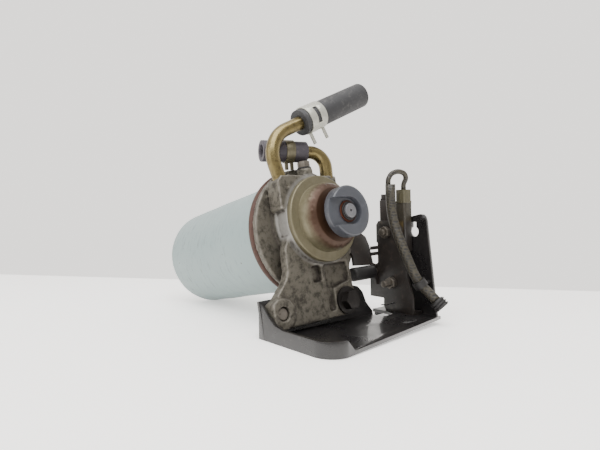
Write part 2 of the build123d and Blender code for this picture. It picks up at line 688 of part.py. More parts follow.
def rod_seal():
    low = DOME_TOP - BUSH_LENGTH
    return ring(BUSH_RADIUS - 1, ROD_RADIUS + RUNNING_GAP, low, low + SEAL_LENGTH, y=PUMP_OFFSET)


def pump_knob():
    """Plastic knob with an open-sided recess in its face round the rod end."""
    body = disc(KNOB_RADIUS, KNOB_BACK, KNOB_FRONT, y=PUMP_OFFSET)
    body = round_edges(body, KNOB_RADIUS, KNOB_FRONT, KNOB_ROUND, y=PUMP_OFFSET)
    body -= ring(KNOB_RADIUS - 2, ROD_RADIUS + 3, KNOB_BACK - 1, KNOB_BACK + 2.2, y=PUMP_OFFSET)
    slot = disc(KNOB_SLOT_WIDTH / 2, RECESS_FLOOR, KNOB_FRONT + 1, y=PUMP_OFFSET)
    slot += plate([(-KNOB_RADIUS - 1, PUMP_OFFSET - KNOB_SLOT_WIDTH / 2),
                   (0, PUMP_OFFSET - KNOB_SLOT_WIDTH / 2), (0, PUMP_OFFSET + KNOB_SLOT_WIDTH / 2),
                   (-KNOB_RADIUS - 1, PUMP_OFFSET + KNOB_SLOT_WIDTH / 2)],
                  RECESS_FLOOR, KNOB_FRONT + 1)
    body -= slot
    return body - disc(ROD_RADIUS, KNOB_BACK - 1, KNOB_FRONT + 1, y=PUMP_OFFSET)


def knob_washer():
    return ring(WASHER_RADIUS, ROD_RADIUS, RECESS_FLOOR, RECESS_FLOOR + 0.8, y=PUMP_OFFSET)


def knob_clip():
    """Retaining ring pressed on the rod above the washer."""
    return ring(CLIP_RADIUS, ROD_RADIUS, RECESS_FLOOR + 0.8, RECESS_FLOOR + 1.9, y=PUMP_OFFSET)


# ---------------------------------------------------------------- mounting bracket

def base_face():
    """Outline of the base sheet with its broad front corner."""
    outline = Polyline((BRACKET_LEFT, BACK_FOLD), (BRACKET_LEFT, BRACKET_FRONT_LEFT),
                       (BRACKET_RIGHT, BRACKET_FRONT_RIGHT), (BRACKET_RIGHT, BRACKET_REAR),
                       (NOTCH_RIGHT, BRACKET_REAR), (NOTCH_RIGHT, -20), (NOTCH_RIGHT - 4, -29),
                       (NOTCH_LEFT + 4, -30), (NOTCH_LEFT, -22), (NOTCH_LEFT, BACK_FOLD),
                       close=True)
    face = make_face(outline)
    corner = face.vertices().sort_by_distance((BRACKET_LEFT, BRACKET_FRONT_LEFT, 0))[0]
    return fillet(corner, CORNER_ROUND)


def lip_wall():
    """Upturned wall round the base's left and front-left edges, on the base's own level."""
    outer = extrude(base_face(), WALL_HEIGHT)
    inner = extrude(offset(base_face(), -SHEET, kind=Kind.INTERSECTION), WALL_HEIGHT)
    keep = side_plate([(BACK_FOLD, 0), (BACK_FOLD, WALL_HEIGHT), (BACK_FOLD - 4, WALL_HEIGHT - 3),
                       (BACK_FOLD - 9, WALL_HEIGHT - 7.5), (BACK_FOLD - 16, LIP_HEIGHT + 1.6),
                       (BACK_FOLD - 24, LIP_HEIGHT), (-90, LIP_HEIGHT), (-90, 0)],
                      BRACKET_LEFT - 1, BRACKET_RIGHT)
    wall = (outer - inner) & keep
    wall -= Pos(BRACKET_LEFT + SHEET, -28, -1) * Box(200, 60, 60, align=CORNER)
    end = plate([(LIP_END - 5, LIP_HEIGHT + 1), (LIP_END - 5, LIP_HEIGHT), (LIP_END + 2, SHEET),
                 (LIP_END + 2, -1), (BRACKET_RIGHT + 9, -1), (BRACKET_RIGHT + 9, LIP_HEIGHT + 1)],
                -1, 100)
    return wall - Rot(X=90) * end


def above_base(part):
    """Part of a level drawing that lies above the base sheet's underside."""
    return part & (SLOPE * Box(400, 300, 200, align=LOW))


def back_plate():
    """Upright sheet behind the head's foot, square to the canister axis."""
    low = BASE_BOTTOM - 16
    points = [(BRACKET_LEFT, low), (BRACKET_LEFT, BACK_PLATE_TOP),
              (BACK_PLATE_RIGHT - 15, BACK_PLATE_TOP), (BACK_PLATE_RIGHT - 7, BACK_PLATE_TOP - 2.5),
              (BACK_PLATE_RIGHT - 3, BACK_PLATE_TOP - 7), (BACK_PLATE_RIGHT - 1, -57),
              (BACK_PLATE_RIGHT + 4, -64), (BACK_PLATE_RIGHT + 4, low)]
    sheet = plate(points, FOOT_BACK - SHEET, FOOT_BACK)
    for x in (BOLT_LEFT, BOLT_RIGHT):
        sheet -= disc(BOLT_RADIUS + BOLT_CLEARANCE, 0, FOOT_BACK + 1, x, BOLT_ROW)
    return above_base(LEVEL.inverse() * sheet)


def wing():
    """Upright wing at the bracket's right end with its keyhole."""
    y, z = KEYHOLE
    near, far = BRACKET_FRONT_RIGHT, BRACKET_REAR
    low = BASE_BOTTOM - 8
    sheet = side_plate([(near + 1.5, low), (near + 9.8, WING_TOP - 5.0), (near + 10.8, WING_TOP - 2),
                        (near + 12.4, WING_TOP - 0.4), (near + 15, WING_TOP),
                        (far - 18, WING_TOP - 4), (far - 14, WING_TOP - 7),
                        (far, BASE_BOTTOM + 14), (far, low)],
                       BRACKET_RIGHT - SHEET, BRACKET_RIGHT)
    reach = (BRACKET_RIGHT - 2 * SHEET, BRACKET_RIGHT + SHEET)
    hole = rod_between((reach[0], y, z), (reach[1], y, z), KEYHOLE_RADIUS)
    neck = side_plate([(y - KEYHOLE_NECK, z), (y + KEYHOLE_NECK, z),
                       (y + KEYHOLE_NECK, z + KEYHOLE_RISE), (y - KEYHOLE_NECK, z + KEYHOLE_RISE)],
                      reach[0], reach[1])
    return above_base(sheet - hole - neck)


def locating_tang():
    """Turned-down tang under the bracket's rear right corner, down to the floor."""
    left = BRACKET_RIGHT - 14
    low = floor_level(left, BRACKET_REAR)
    drop = (left - BRACKET_LEFT) * sin(radians(BASE_SLOPE))
    return Pos(left, BRACKET_REAR - SHEET, low) * Box(11, SHEET, BASE_TOP - drop - low - 0.6,
                                                      align=CORNER)


def mounting_bracket():
    """One pressed sheet: base, upturned wall, back plate, wing and tang."""
    slot = Pos(46, -52, -1) * extrude(SlotOverall(16, 5), SHEET + 2)
    base = SLOPE * (extrude(base_face(), SHEET) + lip_wall() - slot)
    body = base + back_plate() + wing() + locating_tang()
    beyond = Pos(BRACKET_RIGHT, -100, -100) * Box(20, 200, 200, align=CORNER)
    return LEVEL * (body - beyond)


def flange_bolt(x, under_head, tip):
    """Flange bolt with its head towards the pump."""
    body = disc(BOLT_RADIUS, tip, under_head, x, BOLT_ROW)
    body += disc(BOSS_RADIUS - 0.2, under_head, under_head + 1.6, x, BOLT_ROW)
    body += hexagon(12.0, under_head + 1.6, under_head + 7.5, x, BOLT_ROW)
    cone = turned([(0, tip), (BOSS_RADIUS, tip), (BOSS_RADIUS, under_head + 6.5),
                   (5.4, under_head + 7.5), (0, under_head + 7.5)], x, BOLT_ROW)
    return body & cone


def front_bolt():
    return flange_bolt(BOLT_RIGHT, FOOT_FRONT, FOOT_BACK - SHEET - NUT_HEIGHT)


def weld_nut():
    back = FOOT_BACK - SHEET
    body = hexagon(NUT_FLATS, back - NUT_HEIGHT, back, BOLT_RIGHT, BOLT_ROW)
    return body - disc(BOLT_RADIUS, back - NUT_HEIGHT - 1, back + 1, BOLT_RIGHT, BOLT_ROW)


def rear_bolt():
    """Bolt from behind the back plate, its end showing in the left boss."""
    back = FOOT_BACK - SHEET
    body = hexagon(NUT_FLATS, back - 5.3, back, BOLT_LEFT, BOLT_ROW)
    body += disc(BOLT_RADIUS, back, LEFT_BOSS_FRONT - 1.5, BOLT_LEFT, BOLT_ROW)
    return round_edges(body, BOLT_RADIUS, LEFT_BOSS_FRONT - 1.5, 0.8, BOLT_LEFT, BOLT_ROW)


# ---------------------------------------------------------------- valve bracket

def valve_arm():
    """Arm from the head's flange to the valve plate, in the filter's frame."""
    right = VALVE_PLATE_X + VALVE_SHEET
    arm = plate([(28.6, -21), (28.6, -4), (50, -4), (56, -8), (58.5, -15), (59.5, -29),
                 (right, -31), (right, -46), (right - 4.4, -46), (57, -30.4), (38, -29),
                 (38.4, -21), (35, -17.6), (31.5, -18.5)], 0.0, VALVE_SHEET)
    return arm - disc(BARREL_RADIUS + 1.2, -1, 8, y=PUMP_OFFSET)


def valve_plate():
    """Upright plate between the head and the wing that carries the valves."""
    far = -10.5
    x = VALVE_PLATE_X
    low = BASE_BOTTOM - 8
    sheet = side_plate([(-18, low), (-16.8, -55), (-2.4, -55), (-2.4, -32.6), (far, -28),
                        (far, -12.4), (-9.4, -12), (-9.4, 1.5), (-11.6, 4.6), (-28, 4.6),
                        (-33, 0), (-38, -36), (-43, -52), (-43, low)], x, x + VALVE_SHEET)
    sheet = sheet & (SLOPE * Pos(0, 0, SHEET) * Box(400, 300, 200, align=LOW))
    foot_flange = SLOPE * Pos(x + 1, -43, SHEET) * Box(10, 24, VALVE_SHEET, align=CORNER)
    tab = Pos(x - 7.5, far, -22) * Box(8, 1.2, 2.6, align=CORNER)
    body = sheet + foot_flange + tab + Pos(0, 0, 4.6) * tab
    for y, z in (UPPER_STUD, LOWER_STUD):
        body -= rod_between((x - 1, y, z), (x + 4, y, z), STUD_RADIUS)
    return body - rod_between((x - 1, PORT_Y, PORT_Z), (x + 4, PORT_Y, PORT_Z), PORT_PIPE_RADIUS)


def valve_bracket():
    pipe = rod_between((30, PORT_Y, PORT_Z), (70, PORT_Y, PORT_Z), PORT_PIPE_RADIUS)
    cap = rod_between((30, PORT_Y, PORT_Z), (VALVE_PLATE_X - 2, PORT_Y, PORT_Z),
                      PORT_CAP_RADIUS + 0.3)
    return valve_arm() - (LEVEL * (pipe + cap)) + LEVEL * valve_plate()


def bracket_studs():
    """Upper stud in the rear valve's face, lower stud welded on the wing."""
    valve_face = VALVE_PLATE_X + VALVE_SHEET + VALVE_GAP
    upper = rod_between((UPPER_STUD_TIP, *UPPER_STUD), (valve_face, *UPPER_STUD), STUD_RADIUS)
    lower = rod_between((STUD_TIP, *LOWER_STUD), (BRACKET_RIGHT - SHEET, *LOWER_STUD), STUD_RADIUS)
    return LEVEL * (upper + lower)


def stud_nuts():
    nuts = Part()
    for y, z in (UPPER_STUD, LOWER_STUD):
        nut = hexagon(STUD_NUT_FLATS, 0, STUD_NUT_HEIGHT) - disc(STUD_RADIUS, -1, 9)
        nuts += Pos(VALVE_PLATE_X - STUD_NUT_HEIGHT, y, z) * (Rot(Y=90) * nut)
    return LEVEL * nuts


def stud_spacer():
    """Sleeve between the valve plate and the wing on the lower stud."""
    y, z = LOWER_STUD
    low, high = VALVE_PLATE_X + VALVE_SHEET, BRACKET_RIGHT - SHEET
    body = rod_between((low, y, z), (high, y, z), STUD_RADIUS + 2.2)
    return LEVEL * (body - rod_between((low - 1, y, z), (high + 1, y, z), STUD_RADIUS))


def port_pipe():
    """Vacuum pipe through the valve plate."""
    first, last = PORT_CAP_TIP + 2.5, VALVE_PLATE_X + VALVE_SHEET + 5
    body = rod_between((first, PORT_Y, PORT_Z), (last, PORT_Y, PORT_Z), PORT_PIPE_RADIUS)
    bore = rod_between((first - 1, PORT_Y, PORT_Z), (last + 1, PORT_Y, PORT_Z), 2.0)
    return LEVEL * (body - bore)


def port_cap():
    """Rubber cap over the vacuum pipe's end."""
    tip, mouth = PORT_CAP_TIP, VALVE_PLATE_X - 3
    body = Rot(Y=90) * disc(PORT_CAP_RADIUS, 0, mouth - tip)
    body = Pos(tip, PORT_Y, PORT_Z) * body
    end = body.faces().sort_by(Axis.X)[0]
    body = fillet(end.edges(), 1.6)
    hollow = rod_between((tip + 2.5, PORT_Y, PORT_Z), (mouth + 1, PORT_Y, PORT_Z), PORT_PIPE_RADIUS)
    return LEVEL * (body - hollow)


# ---------------------------------------------------------------- solenoid valves

VALVE_X = VALVE_PLATE_X + VALVE_SHEET + VALVE_GAP + VALVE_WIDTH / 2
COIL_LOW, COIL_HIGH = -6.0, 9.0
COIL_OUTER = 3.8
ARMATURE_RADIUS = 2.0
ARMATURE_LOW = -13.0
ARMATURE_TOP = -3.0
SPRING_STOP = 5.0


def valve_body(y, top):
    """Moulded valve body with a stepped neck under the connector."""
    body = Pos(VALVE_X, y, VALVE_BODY_LOW) * Box(VALVE_WIDTH, VALVE_WIDTH, top - VALVE_BODY_LOW,
                                                 align=LOW)
    body = fillet(body.edges().filter_by(Axis.Z), 1.8)
    body -= disc(ARMATURE_RADIUS + RUNNING_GAP, ARMATURE_LOW, SPRING_STOP, VALVE_X, y)
    body -= disc(COIL_OUTER, COIL_LOW, COIL_HIGH, VALVE_X, y)
    body += disc(ARMATURE_RADIUS + 0.05, SPRING_STOP, COIL_HIGH, VALVE_X, y)
    return body - disc(1.0, VALVE_BODY_LOW - 1, ARMATURE_LOW, VALVE_X, y)


def valve_connector(y, low, high, width):
    """Plug-in connector with a stepped collar and a latch rib."""
    body = Pos(VALVE_X, y, low) * Box(width, width, high - low, align=LOW)
    body = fillet(body.edges().filter_by(Axis.Z), 1.5)
    collar = Pos(VALVE_X, y, low) * Box(width + 0.9, width + 0.9, 1.4, align=LOW)
    rib = Pos(VALVE_X - width / 2, y, low) * Box(1.2, 2.6, high - low - 1.5, align=LOW)
    return body + fillet(collar.edges().filter_by(Axis.Z), 1.8) + rib


def front_valve_body():
    return LEVEL * valve_body(FRONT_VALVE_Y, FRONT_VALVE_TOP)


def rear_valve_body():
    return LEVEL * valve_body(REAR_VALVE_Y, REAR_VALVE_TOP)


def front_connector():
    return LEVEL * valve_connector(FRONT_VALVE_Y, FRONT_VALVE_TOP, FRONT_VALVE_TOP + 10, 8.6)


def rear_connector():
    return LEVEL * valve_connector(REAR_VALVE_Y, REAR_VALVE_TOP, REAR_VALVE_TOP + 4.5, 7.4)


def valve_coils():
    """Both magnet windings in their bodies."""
    pair = Part()
    for y in (FRONT_VALVE_Y, REAR_VALVE_Y):
        pair += ring(COIL_OUTER, ARMATURE_RADIUS + RUNNING_GAP, COIL_LOW, COIL_HIGH, VALVE_X, y)
    return LEVEL * pair


def armature(y):
    return LEVEL * disc(ARMATURE_RADIUS, ARMATURE_LOW, ARMATURE_TOP, VALVE_X, y)


def armature_spring(y):
    return LEVEL * coil(1.5, 0.35, ARMATURE_TOP, SPRING_STOP, 5, VALVE_X, y)


# ---------------------------------------------------------------- wiring lead

def lead_sheath():
    return LEVEL * bent(LEAD_ROUTE, route_radii(LEAD_ROUTE), SHEATH_RADIUS)


def lead_loop():
    """Stiff wire pair from the sheath's top over into the near connector."""
    return LEVEL * bent(LOOP_ROUTE, route_radii(LOOP_ROUTE), LOOP_RADIUS)


def lead_plug():
    """Round ribbed connector on the lead's end."""
    start = LEAD_ROUTE[-1]
    run = Vector(*start) - Vector(*LEAD_ROUTE[-2])
    body = disc(PLUG_RADIUS - 0.8, 0, PLUG_LENGTH)
    for rib in range(3):
        body += disc(PLUG_RADIUS, 0.8 + 2.1 * rib, 2.0 + 2.1 * rib)
    body -= disc(PLUG_RADIUS - 2.2, PLUG_LENGTH - 5, PLUG_LENGTH + 1)
    return LEVEL * (Plane(origin=start, z_dir=run) * body)


def lead_clip():
    """Clip round the sheath with a stem pushed into the wing."""
    centre = LEAD_ROUTE[7]
    run = Vector(*LEAD_ROUTE[8]) - Vector(*LEAD_ROUTE[6])
    seat = Plane(origin=centre, z_dir=run)
    band = seat * (Pos(0, 0, -2.5) * (ring(SHEATH_RADIUS + 1.5, SHEATH_RADIUS + 0.5, 0, 5)))
    stem = rod_between(along(centre, (1, 0, 0), SHEATH_RADIUS + 1.2),
                       (BRACKET_RIGHT - SHEET, centre[1], centre[2]), 1.6)
    return LEVEL * (band + stem)


# ---------------------------------------------------------------- export

PARTS = {
    "filter_can": filter_can,
    "can_retainer": can_retainer,
    "filter_gasket": filter_gasket,
    "tapping_plate": tapping_plate,
    "filter_paper": filter_paper,
    "centre_tube": centre_tube,
    "upper_end_cap": upper_end_cap,
    "lower_end_cap": lower_end_cap,
    "element_seal": element_seal,
    "support_spring": support_spring,
    "filter_head": filter_head,
    "filter_nipple": filter_nipple,
    "left_fuel_tube": left_fuel_tube,
    "right_fuel_tube": right_fuel_tube,
    "long_hose": long_hose,
    "short_hose": short_hose,
    "long_hose_clamp": long_hose_clamp,
    "short_hose_clamp": short_hose_clamp,
    "bleed_washer": bleed_washer,
    "bleed_plug": bleed_plug,
    "inlet_valve_cartridge": lambda: cartridge(-1),
    "outlet_valve_cartridge": lambda: cartridge(1),
    "inlet_valve_disc": inlet_valve_disc,
    "outlet_valve_disc": outlet_valve_disc,
    "inlet_valve_spring": inlet_valve_spring,
    "outlet_valve_spring": outlet_valve_spring,
    "pump_cover": pump_cover,
    "pump_diaphragm": pump_diaphragm,
    "inner_diaphragm_plate": inner_diaphragm_plate,
    "outer_diaphragm_plate": outer_diaphragm_plate,
    "plunger_rod": plunger_rod,
    "pump_spring": pump_spring,
    "rod_bush": rod_bush,
    "rod_seal": rod_seal,
    "pump_knob": pump_knob,
    "knob_washer": knob_washer,
    "knob_clip": knob_clip,
    "mounting_bracket": mounting_bracket,
    "front_bolt": front_bolt,
    "weld_nut": weld_nut,
    "rear_bolt": rear_bolt,
    "valve_bracket": valve_bracket,
    "bracket_studs": bracket_studs,
    "stud_nuts": stud_nuts,
    "stud_spacer": stud_spacer,
    "port_pipe": port_pipe,
    "port_cap": port_cap,
    "front_valve_body": front_valve_body,
    "rear_valve_body": rear_valve_body,
    "front_connector": front_connector,
    "rear_connector": rear_connector,
    "valve_coils": valve_coils,
    "front_armature": lambda: armature(FRONT_VALVE_Y),
    "rear_armature": lambda: armature(REAR_VALVE_Y),
    "front_armature_spring": lambda: armature_spring(FRONT_VALVE_Y),
    "rear_armature_spring": lambda: armature_spring(REAR_VALVE_Y),
    "lead_sheath": lead_sheath,
    "lead_loop": lead_loop,
    "lead_plug": lead_plug,
    "lead_clip": lead_clip,
}


def footprint(pieces):
    """Shift that brings the resting assembly's box to the origin, bottom centre."""
    boxes = [piece.bounding_box() for piece in pieces]
    low = [min(getattr(box.min, axis) for box in boxes) for axis in "XYZ"]
    high = [max(getattr(box.max, axis) for box in boxes) for axis in "XYZ"]
    print("box", [round(value, 3) for value in low + high])
    return Pos(-(low[0] + high[0]) / 2, -(low[1] + high[1]) / 2, -low[2])


def main():
    os.makedirs("parts", exist_ok=True)
    placed = {name: RESTING * make() for name, make in PARTS.items()}
    shift = footprint(placed.values())
    print("shift", [round(value, 4) for value in shift.position])
    for name, piece in placed.items():
        export_step(shift * piece, f"parts/{name}.step")
        print(f"{name}: {piece.volume:.1f} mm3, {len(piece.solids())} solid(s)")


main()
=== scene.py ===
import json
import math

import bmesh
import bpy
from bpy.props import FloatProperty, FloatVectorProperty, IntProperty, PointerProperty
from mathutils import Matrix, Vector


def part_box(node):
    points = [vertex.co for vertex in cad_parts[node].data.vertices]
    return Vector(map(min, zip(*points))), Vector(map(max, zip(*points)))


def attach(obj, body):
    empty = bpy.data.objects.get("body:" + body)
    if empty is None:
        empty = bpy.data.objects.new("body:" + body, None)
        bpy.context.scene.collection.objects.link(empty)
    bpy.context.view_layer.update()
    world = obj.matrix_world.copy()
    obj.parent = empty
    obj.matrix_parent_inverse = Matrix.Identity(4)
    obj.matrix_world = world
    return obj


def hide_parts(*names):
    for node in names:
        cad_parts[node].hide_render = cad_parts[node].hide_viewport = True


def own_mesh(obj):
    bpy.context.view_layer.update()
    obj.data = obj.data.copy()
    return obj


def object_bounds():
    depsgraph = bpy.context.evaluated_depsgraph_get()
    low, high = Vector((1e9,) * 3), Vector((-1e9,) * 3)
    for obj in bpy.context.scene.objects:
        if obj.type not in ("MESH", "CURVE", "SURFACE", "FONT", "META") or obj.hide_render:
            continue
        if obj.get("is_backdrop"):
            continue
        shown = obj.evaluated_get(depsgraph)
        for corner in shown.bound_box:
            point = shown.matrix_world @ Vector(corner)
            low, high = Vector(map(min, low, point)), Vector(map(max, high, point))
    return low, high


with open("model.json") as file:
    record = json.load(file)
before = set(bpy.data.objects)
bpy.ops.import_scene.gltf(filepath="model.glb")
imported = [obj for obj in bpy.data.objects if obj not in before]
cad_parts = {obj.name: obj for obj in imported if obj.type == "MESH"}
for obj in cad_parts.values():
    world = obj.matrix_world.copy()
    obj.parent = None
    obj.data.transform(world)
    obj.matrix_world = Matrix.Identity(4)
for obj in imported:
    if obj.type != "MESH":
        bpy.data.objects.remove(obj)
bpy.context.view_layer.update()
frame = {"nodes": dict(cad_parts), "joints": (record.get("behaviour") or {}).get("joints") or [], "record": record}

bl_info = {
    "name": "Fuel filter with hand priming pump",
    "version": (1, 0, 0),
    "blender": (4, 5, 0),
    "location": "View3D > Sidebar > Fuel filter",
    "description": "Gives a diesel fuel filter assembly its finished surfaces and a plain studio",
    "category": "Object",
}

MM = 0.001


def linear(code):
    """Scene-linear colour of an sRGB hex code."""
    values = [int(code[place:place + 2], 16) / 255 for place in (1, 3, 5)]
    return tuple(v / 12.92 if v <= 0.04045 else ((v + 0.055) / 1.055) ** 2.4 for v in values)


def joint(name):
    return next(entry for entry in frame["joints"] if entry["name"] == name)


def middle(node):
    low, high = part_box(node)
    return (low + high) / 2


# The assembly's own directions, from the joints that run along them
FORWARD = -Vector(joint("canister_turn")["axis"]).normalized()     # canister towards pump knob
ABOVE = Vector(joint("bleed_turn")["axis"]).normalized()           # through the bleed plug
FLANGE = Vector(joint("canister_turn")["pos_m"])                   # centre of the flange's face
PUMP = FLANGE + ABOVE * 6.0 * MM                                   # pump axis at the flange
LEFTWARD = Vector((-0.766, 0.643, 0.0))                            # from the pump to the near valve

# The canister, with places along it measured forward from the flange's face
CAN_RADIUS = 40 * MM
CAN_END = -144 * MM              # closed end
CAN_MOUTH = -8.4 * MM            # where the wall starts to flare into the seam
CAN_END_ROUNDING = 8 * MM
CAN_WALL = 1 * MM
CAN_RINGS = 21                   # cuts along the wall, so that it can carry dents
CAN_RING_STEP = 6 * MM

MERGE_DISTANCE = 0.002 * MM      # points nearer than this are one point
EDGE_CONTRAST = 2.2              # how strongly the casting's edges and hollows are told apart

# The stage
CAMERA_RIGHT = Vector((0.7657, -0.6430, 0.0120)).normalized()
CAMERA_UP = Vector((0.0, 0.0180, 0.9990))
CAMERA_PLACE = Vector((-224, -257, 9)) * MM     # from the centre of the flange's face
BOARD_AHEAD = 0.561              # from below the camera to the board's far edge
BOARD_SLANT = 0.123              # how much nearer that edge is for each metre to the right
BOARD_SIDE = 3.0                 # reach to either side of the camera
BOARD_BACK = 2.0                 # reach behind the camera
BOARD_THICKNESS = 0.018


# ------------------------------------------------------------------ settings

class StageSettings(bpy.types.PropertyGroup):
    lens: FloatProperty(name="Lens", description="Focal length of the camera on a 36 mm sensor",
                        default=28.8, min=10, subtype="DISTANCE_CAMERA")
    key_power: FloatProperty(name="Key light", description="Power of the large light overhead",
                             default=26.0, min=0, subtype="POWER")
    fill_power: FloatProperty(name="Fill light", description="Power of the light on the left",
                              default=5.0, min=0, subtype="POWER")
    board_color: FloatVectorProperty(name="Board", description="Colour of the white board",
                                     subtype="COLOR", size=3, default=linear("#F4F2EF"))
    backdrop_strength: FloatProperty(name="Backdrop light", default=2.3, min=0,
                                     description="Light from the wall behind")
    room_strength: FloatProperty(name="Room light", description="Light from the viewer's side",
                                 default=0.75, min=0)
    backdrop_color: FloatVectorProperty(name="Backdrop", description="Colour round the board",
                                        subtype="COLOR", size=3, default=linear("#E4E1DD"))


class SizeSettings(bpy.types.PropertyGroup):
    cast_edge: FloatProperty(name="Casting grain", default=0.9 * MM, unit="LENGTH", precision=5,
                             description="Smallest feature kept when the casting is softened")
    sheet_edge: FloatProperty(name="Sheet edge", default=0.45 * MM, unit="LENGTH", precision=5,
                              description="Rounding of punched sheet edges")
    moulded_edge: FloatProperty(name="Moulded edge", default=0.5 * MM, unit="LENGTH", precision=5,
                                description="Rounding of moulded plastic edges")
    machined_edge: FloatProperty(name="Machined edge", default=0.25 * MM, unit="LENGTH",
                                 description="Broken edge of bolts and nuts", precision=5)
    can_sides: IntProperty(name="Canister sides", description="Facets round the canister",
                           default=128, min=32, max=256)
    braid_pitch: FloatProperty(name="Braid pitch", default=3.2 * MM, unit="LENGTH", precision=5,
                               description="Length of one crossing of the lead's braid")


class ColourSettings(bpy.types.PropertyGroup):
    canister: FloatVectorProperty(name="Canister paint", description="Pale grey stove enamel",
                                  subtype="COLOR", size=3, default=linear("#869594"))
    casting: FloatVectorProperty(name="Casting", description="Weathered cast aluminium",
                                 subtype="COLOR", size=3, default=linear("#69655C"))
    zinc_yellow: FloatVectorProperty(name="Fuel tubes", description="Yellow passivated zinc",
                                     subtype="COLOR", size=3, default=linear("#7F734E"))
    cover: FloatVectorProperty(name="Pump cover", description="Dull olive passivated zinc",
                               subtype="COLOR", size=3, default=linear("#726C57"))
    knob: FloatVectorProperty(name="Knob", description="Slate grey moulded plastic",
                              subtype="COLOR", size=3, default=linear("#3D3F45"))
    hose: FloatVectorProperty(name="Hose", description="Charcoal fuel hose rubber",
                              subtype="COLOR", size=3, default=linear("#28282A"))
    bracket: FloatVectorProperty(name="Bracket", description="Black satin paint",
                                 subtype="COLOR", size=3, default=linear("#141314"))


def stage_settings():
    return bpy.context.scene.fuel_filter_stage


def sizes():
    return bpy.context.scene.fuel_filter_sizes


def colours():
    return bpy.context.scene.fuel_filter_colours


# ------------------------------------------------------------------ working with pieces

def take(*objects):
    """Makes these objects, and no others, the ones that operators act on."""
    if bpy.context.object and bpy.context.object.mode != "OBJECT":
        bpy.ops.object.mode_set(mode="OBJECT")
    bpy.ops.object.select_all(action="DESELECT")
    for one in objects:
        one.select_set(True)
    if objects:
        bpy.context.view_layer.objects.active = objects[0]


def fix_modifier(piece, kind, **settings):
    """Adds a modifier to a piece and applies it."""
    take(piece)
    modifier = piece.modifiers.new(kind.title(), kind)
    for key, value in settings.items():
        setattr(modifier, key, value)
    bpy.ops.object.modifier_apply(modifier=modifier.name)


def settle(piece):
    """Puts a piece's place into its mesh, with its object at the origin."""
    take(piece)
    bpy.ops.object.transform_apply(location=True, rotation=True, scale=True)


def merged_copy(node, name):
    """Copy of a CAD node with its loose triangles joined up."""
    piece = bpy.data.objects.new(name, frame["nodes"][node].data.copy())
    bpy.context.scene.collection.objects.link(piece)
    piece.data.materials.clear()
    take(piece)
    bpy.ops.object.mode_set(mode="EDIT")
    bpy.ops.mesh.select_all(action="SELECT")
    bpy.ops.mesh.remove_doubles(threshold=MERGE_DISTANCE)
    bpy.ops.object.mode_set(mode="OBJECT")
    return piece


def body_of(node):
    groups = frame["record"]["behaviour"]["bodies"]
    return next(body for body, members in groups.items() if node in members)


def finish_piece(piece, node, *materials):
    """Gives a piece its materials and lets it stand for its CAD node."""
    piece.data.materials.clear()
    for material in materials:
        piece.data.materials.append(material)
    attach(piece, body_of(node))
    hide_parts(node)
    return piece


def smooth_faces(piece, degrees=32):
    take(piece)
    bpy.ops.object.shade_smooth_by_angle(angle=math.radians(degrees))


def smooth_piece(node, material):
    """A turned or drawn part, shaded smoothly between its true edges."""
    piece = merged_copy(node, "finished_" + node)
    smooth_faces(piece)
    return finish_piece(piece, node, material)


def coil_spring(node):
    """A coil spring, shaded smoothly, with a mesh of its own."""
    piece = smooth_piece(node, spring_wire())
    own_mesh(piece)
    return piece


def soft_edged(node, width, material, worn=None, degrees=30):
    """A part whose sharp edges are rounded; the roundings take the worn finish."""
    piece = merged_copy(node, "finished_" + node)
    take(piece)
    bpy.ops.object.mode_set(mode="EDIT")
    bpy.ops.mesh.select_all(action="SELECT")
    bpy.ops.mesh.dissolve_limited(angle_limit=math.radians(0.5))
    bpy.ops.object.mode_set(mode="OBJECT")
    finish_piece(piece, node, material, worn or material)
    fix_modifier(piece, "BEVEL", width=width, segments=2, limit_method="ANGLE",
                 angle_limit=math.radians(degrees), material=1, use_clamp_overlap=True,
                 harden_normals=False)
    smooth_faces(piece, 40)
    fix_modifier(piece, "TRIANGULATE", keep_custom_normals=True)
    return piece


# ------------------------------------------------------------------ materials

def add_node(material, kind, inputs=None, **settings):
    """Adds one shader node; inputs holds values or the output sockets to link from."""
    tree = material.node_tree
    node = tree.nodes.new(kind)
    for key, value in settings.items():
        setattr(node, key, value)
    for socket, value in (inputs or {}).items():
        if isinstance(value, bpy.types.NodeSocket):
            tree.links.new(value, node.inputs[socket])
        else:
            node.inputs[socket].default_value = value
    return node


def rgba(colour):
    values = linear(colour) if isinstance(colour, str) else tuple(colour)
    return (*values, 1.0)


def new_material(name):
    """Material with its shader and the piece's own coordinates."""
    old = bpy.data.materials.get(name)
    if old:
        return old, None, None
    material = bpy.data.materials.new(name)
    material.use_nodes = True
    shader = material.node_tree.nodes["Principled BSDF"]
    place = add_node(material, "ShaderNodeTexCoord").outputs["Object"]
    return material, shader, place


def link_surface(material, shader, tone, relief, polish=None):
    """Links a finish's colour mix, its relief and, if it has one, its roughness range."""
    links = material.node_tree.links
    links.new(tone.outputs[2], shader.inputs["Base Color"])
    if polish:
        links.new(polish.outputs["Result"], shader.inputs["Roughness"])
    links.new(relief.outputs["Normal"], shader.inputs["Normal"])


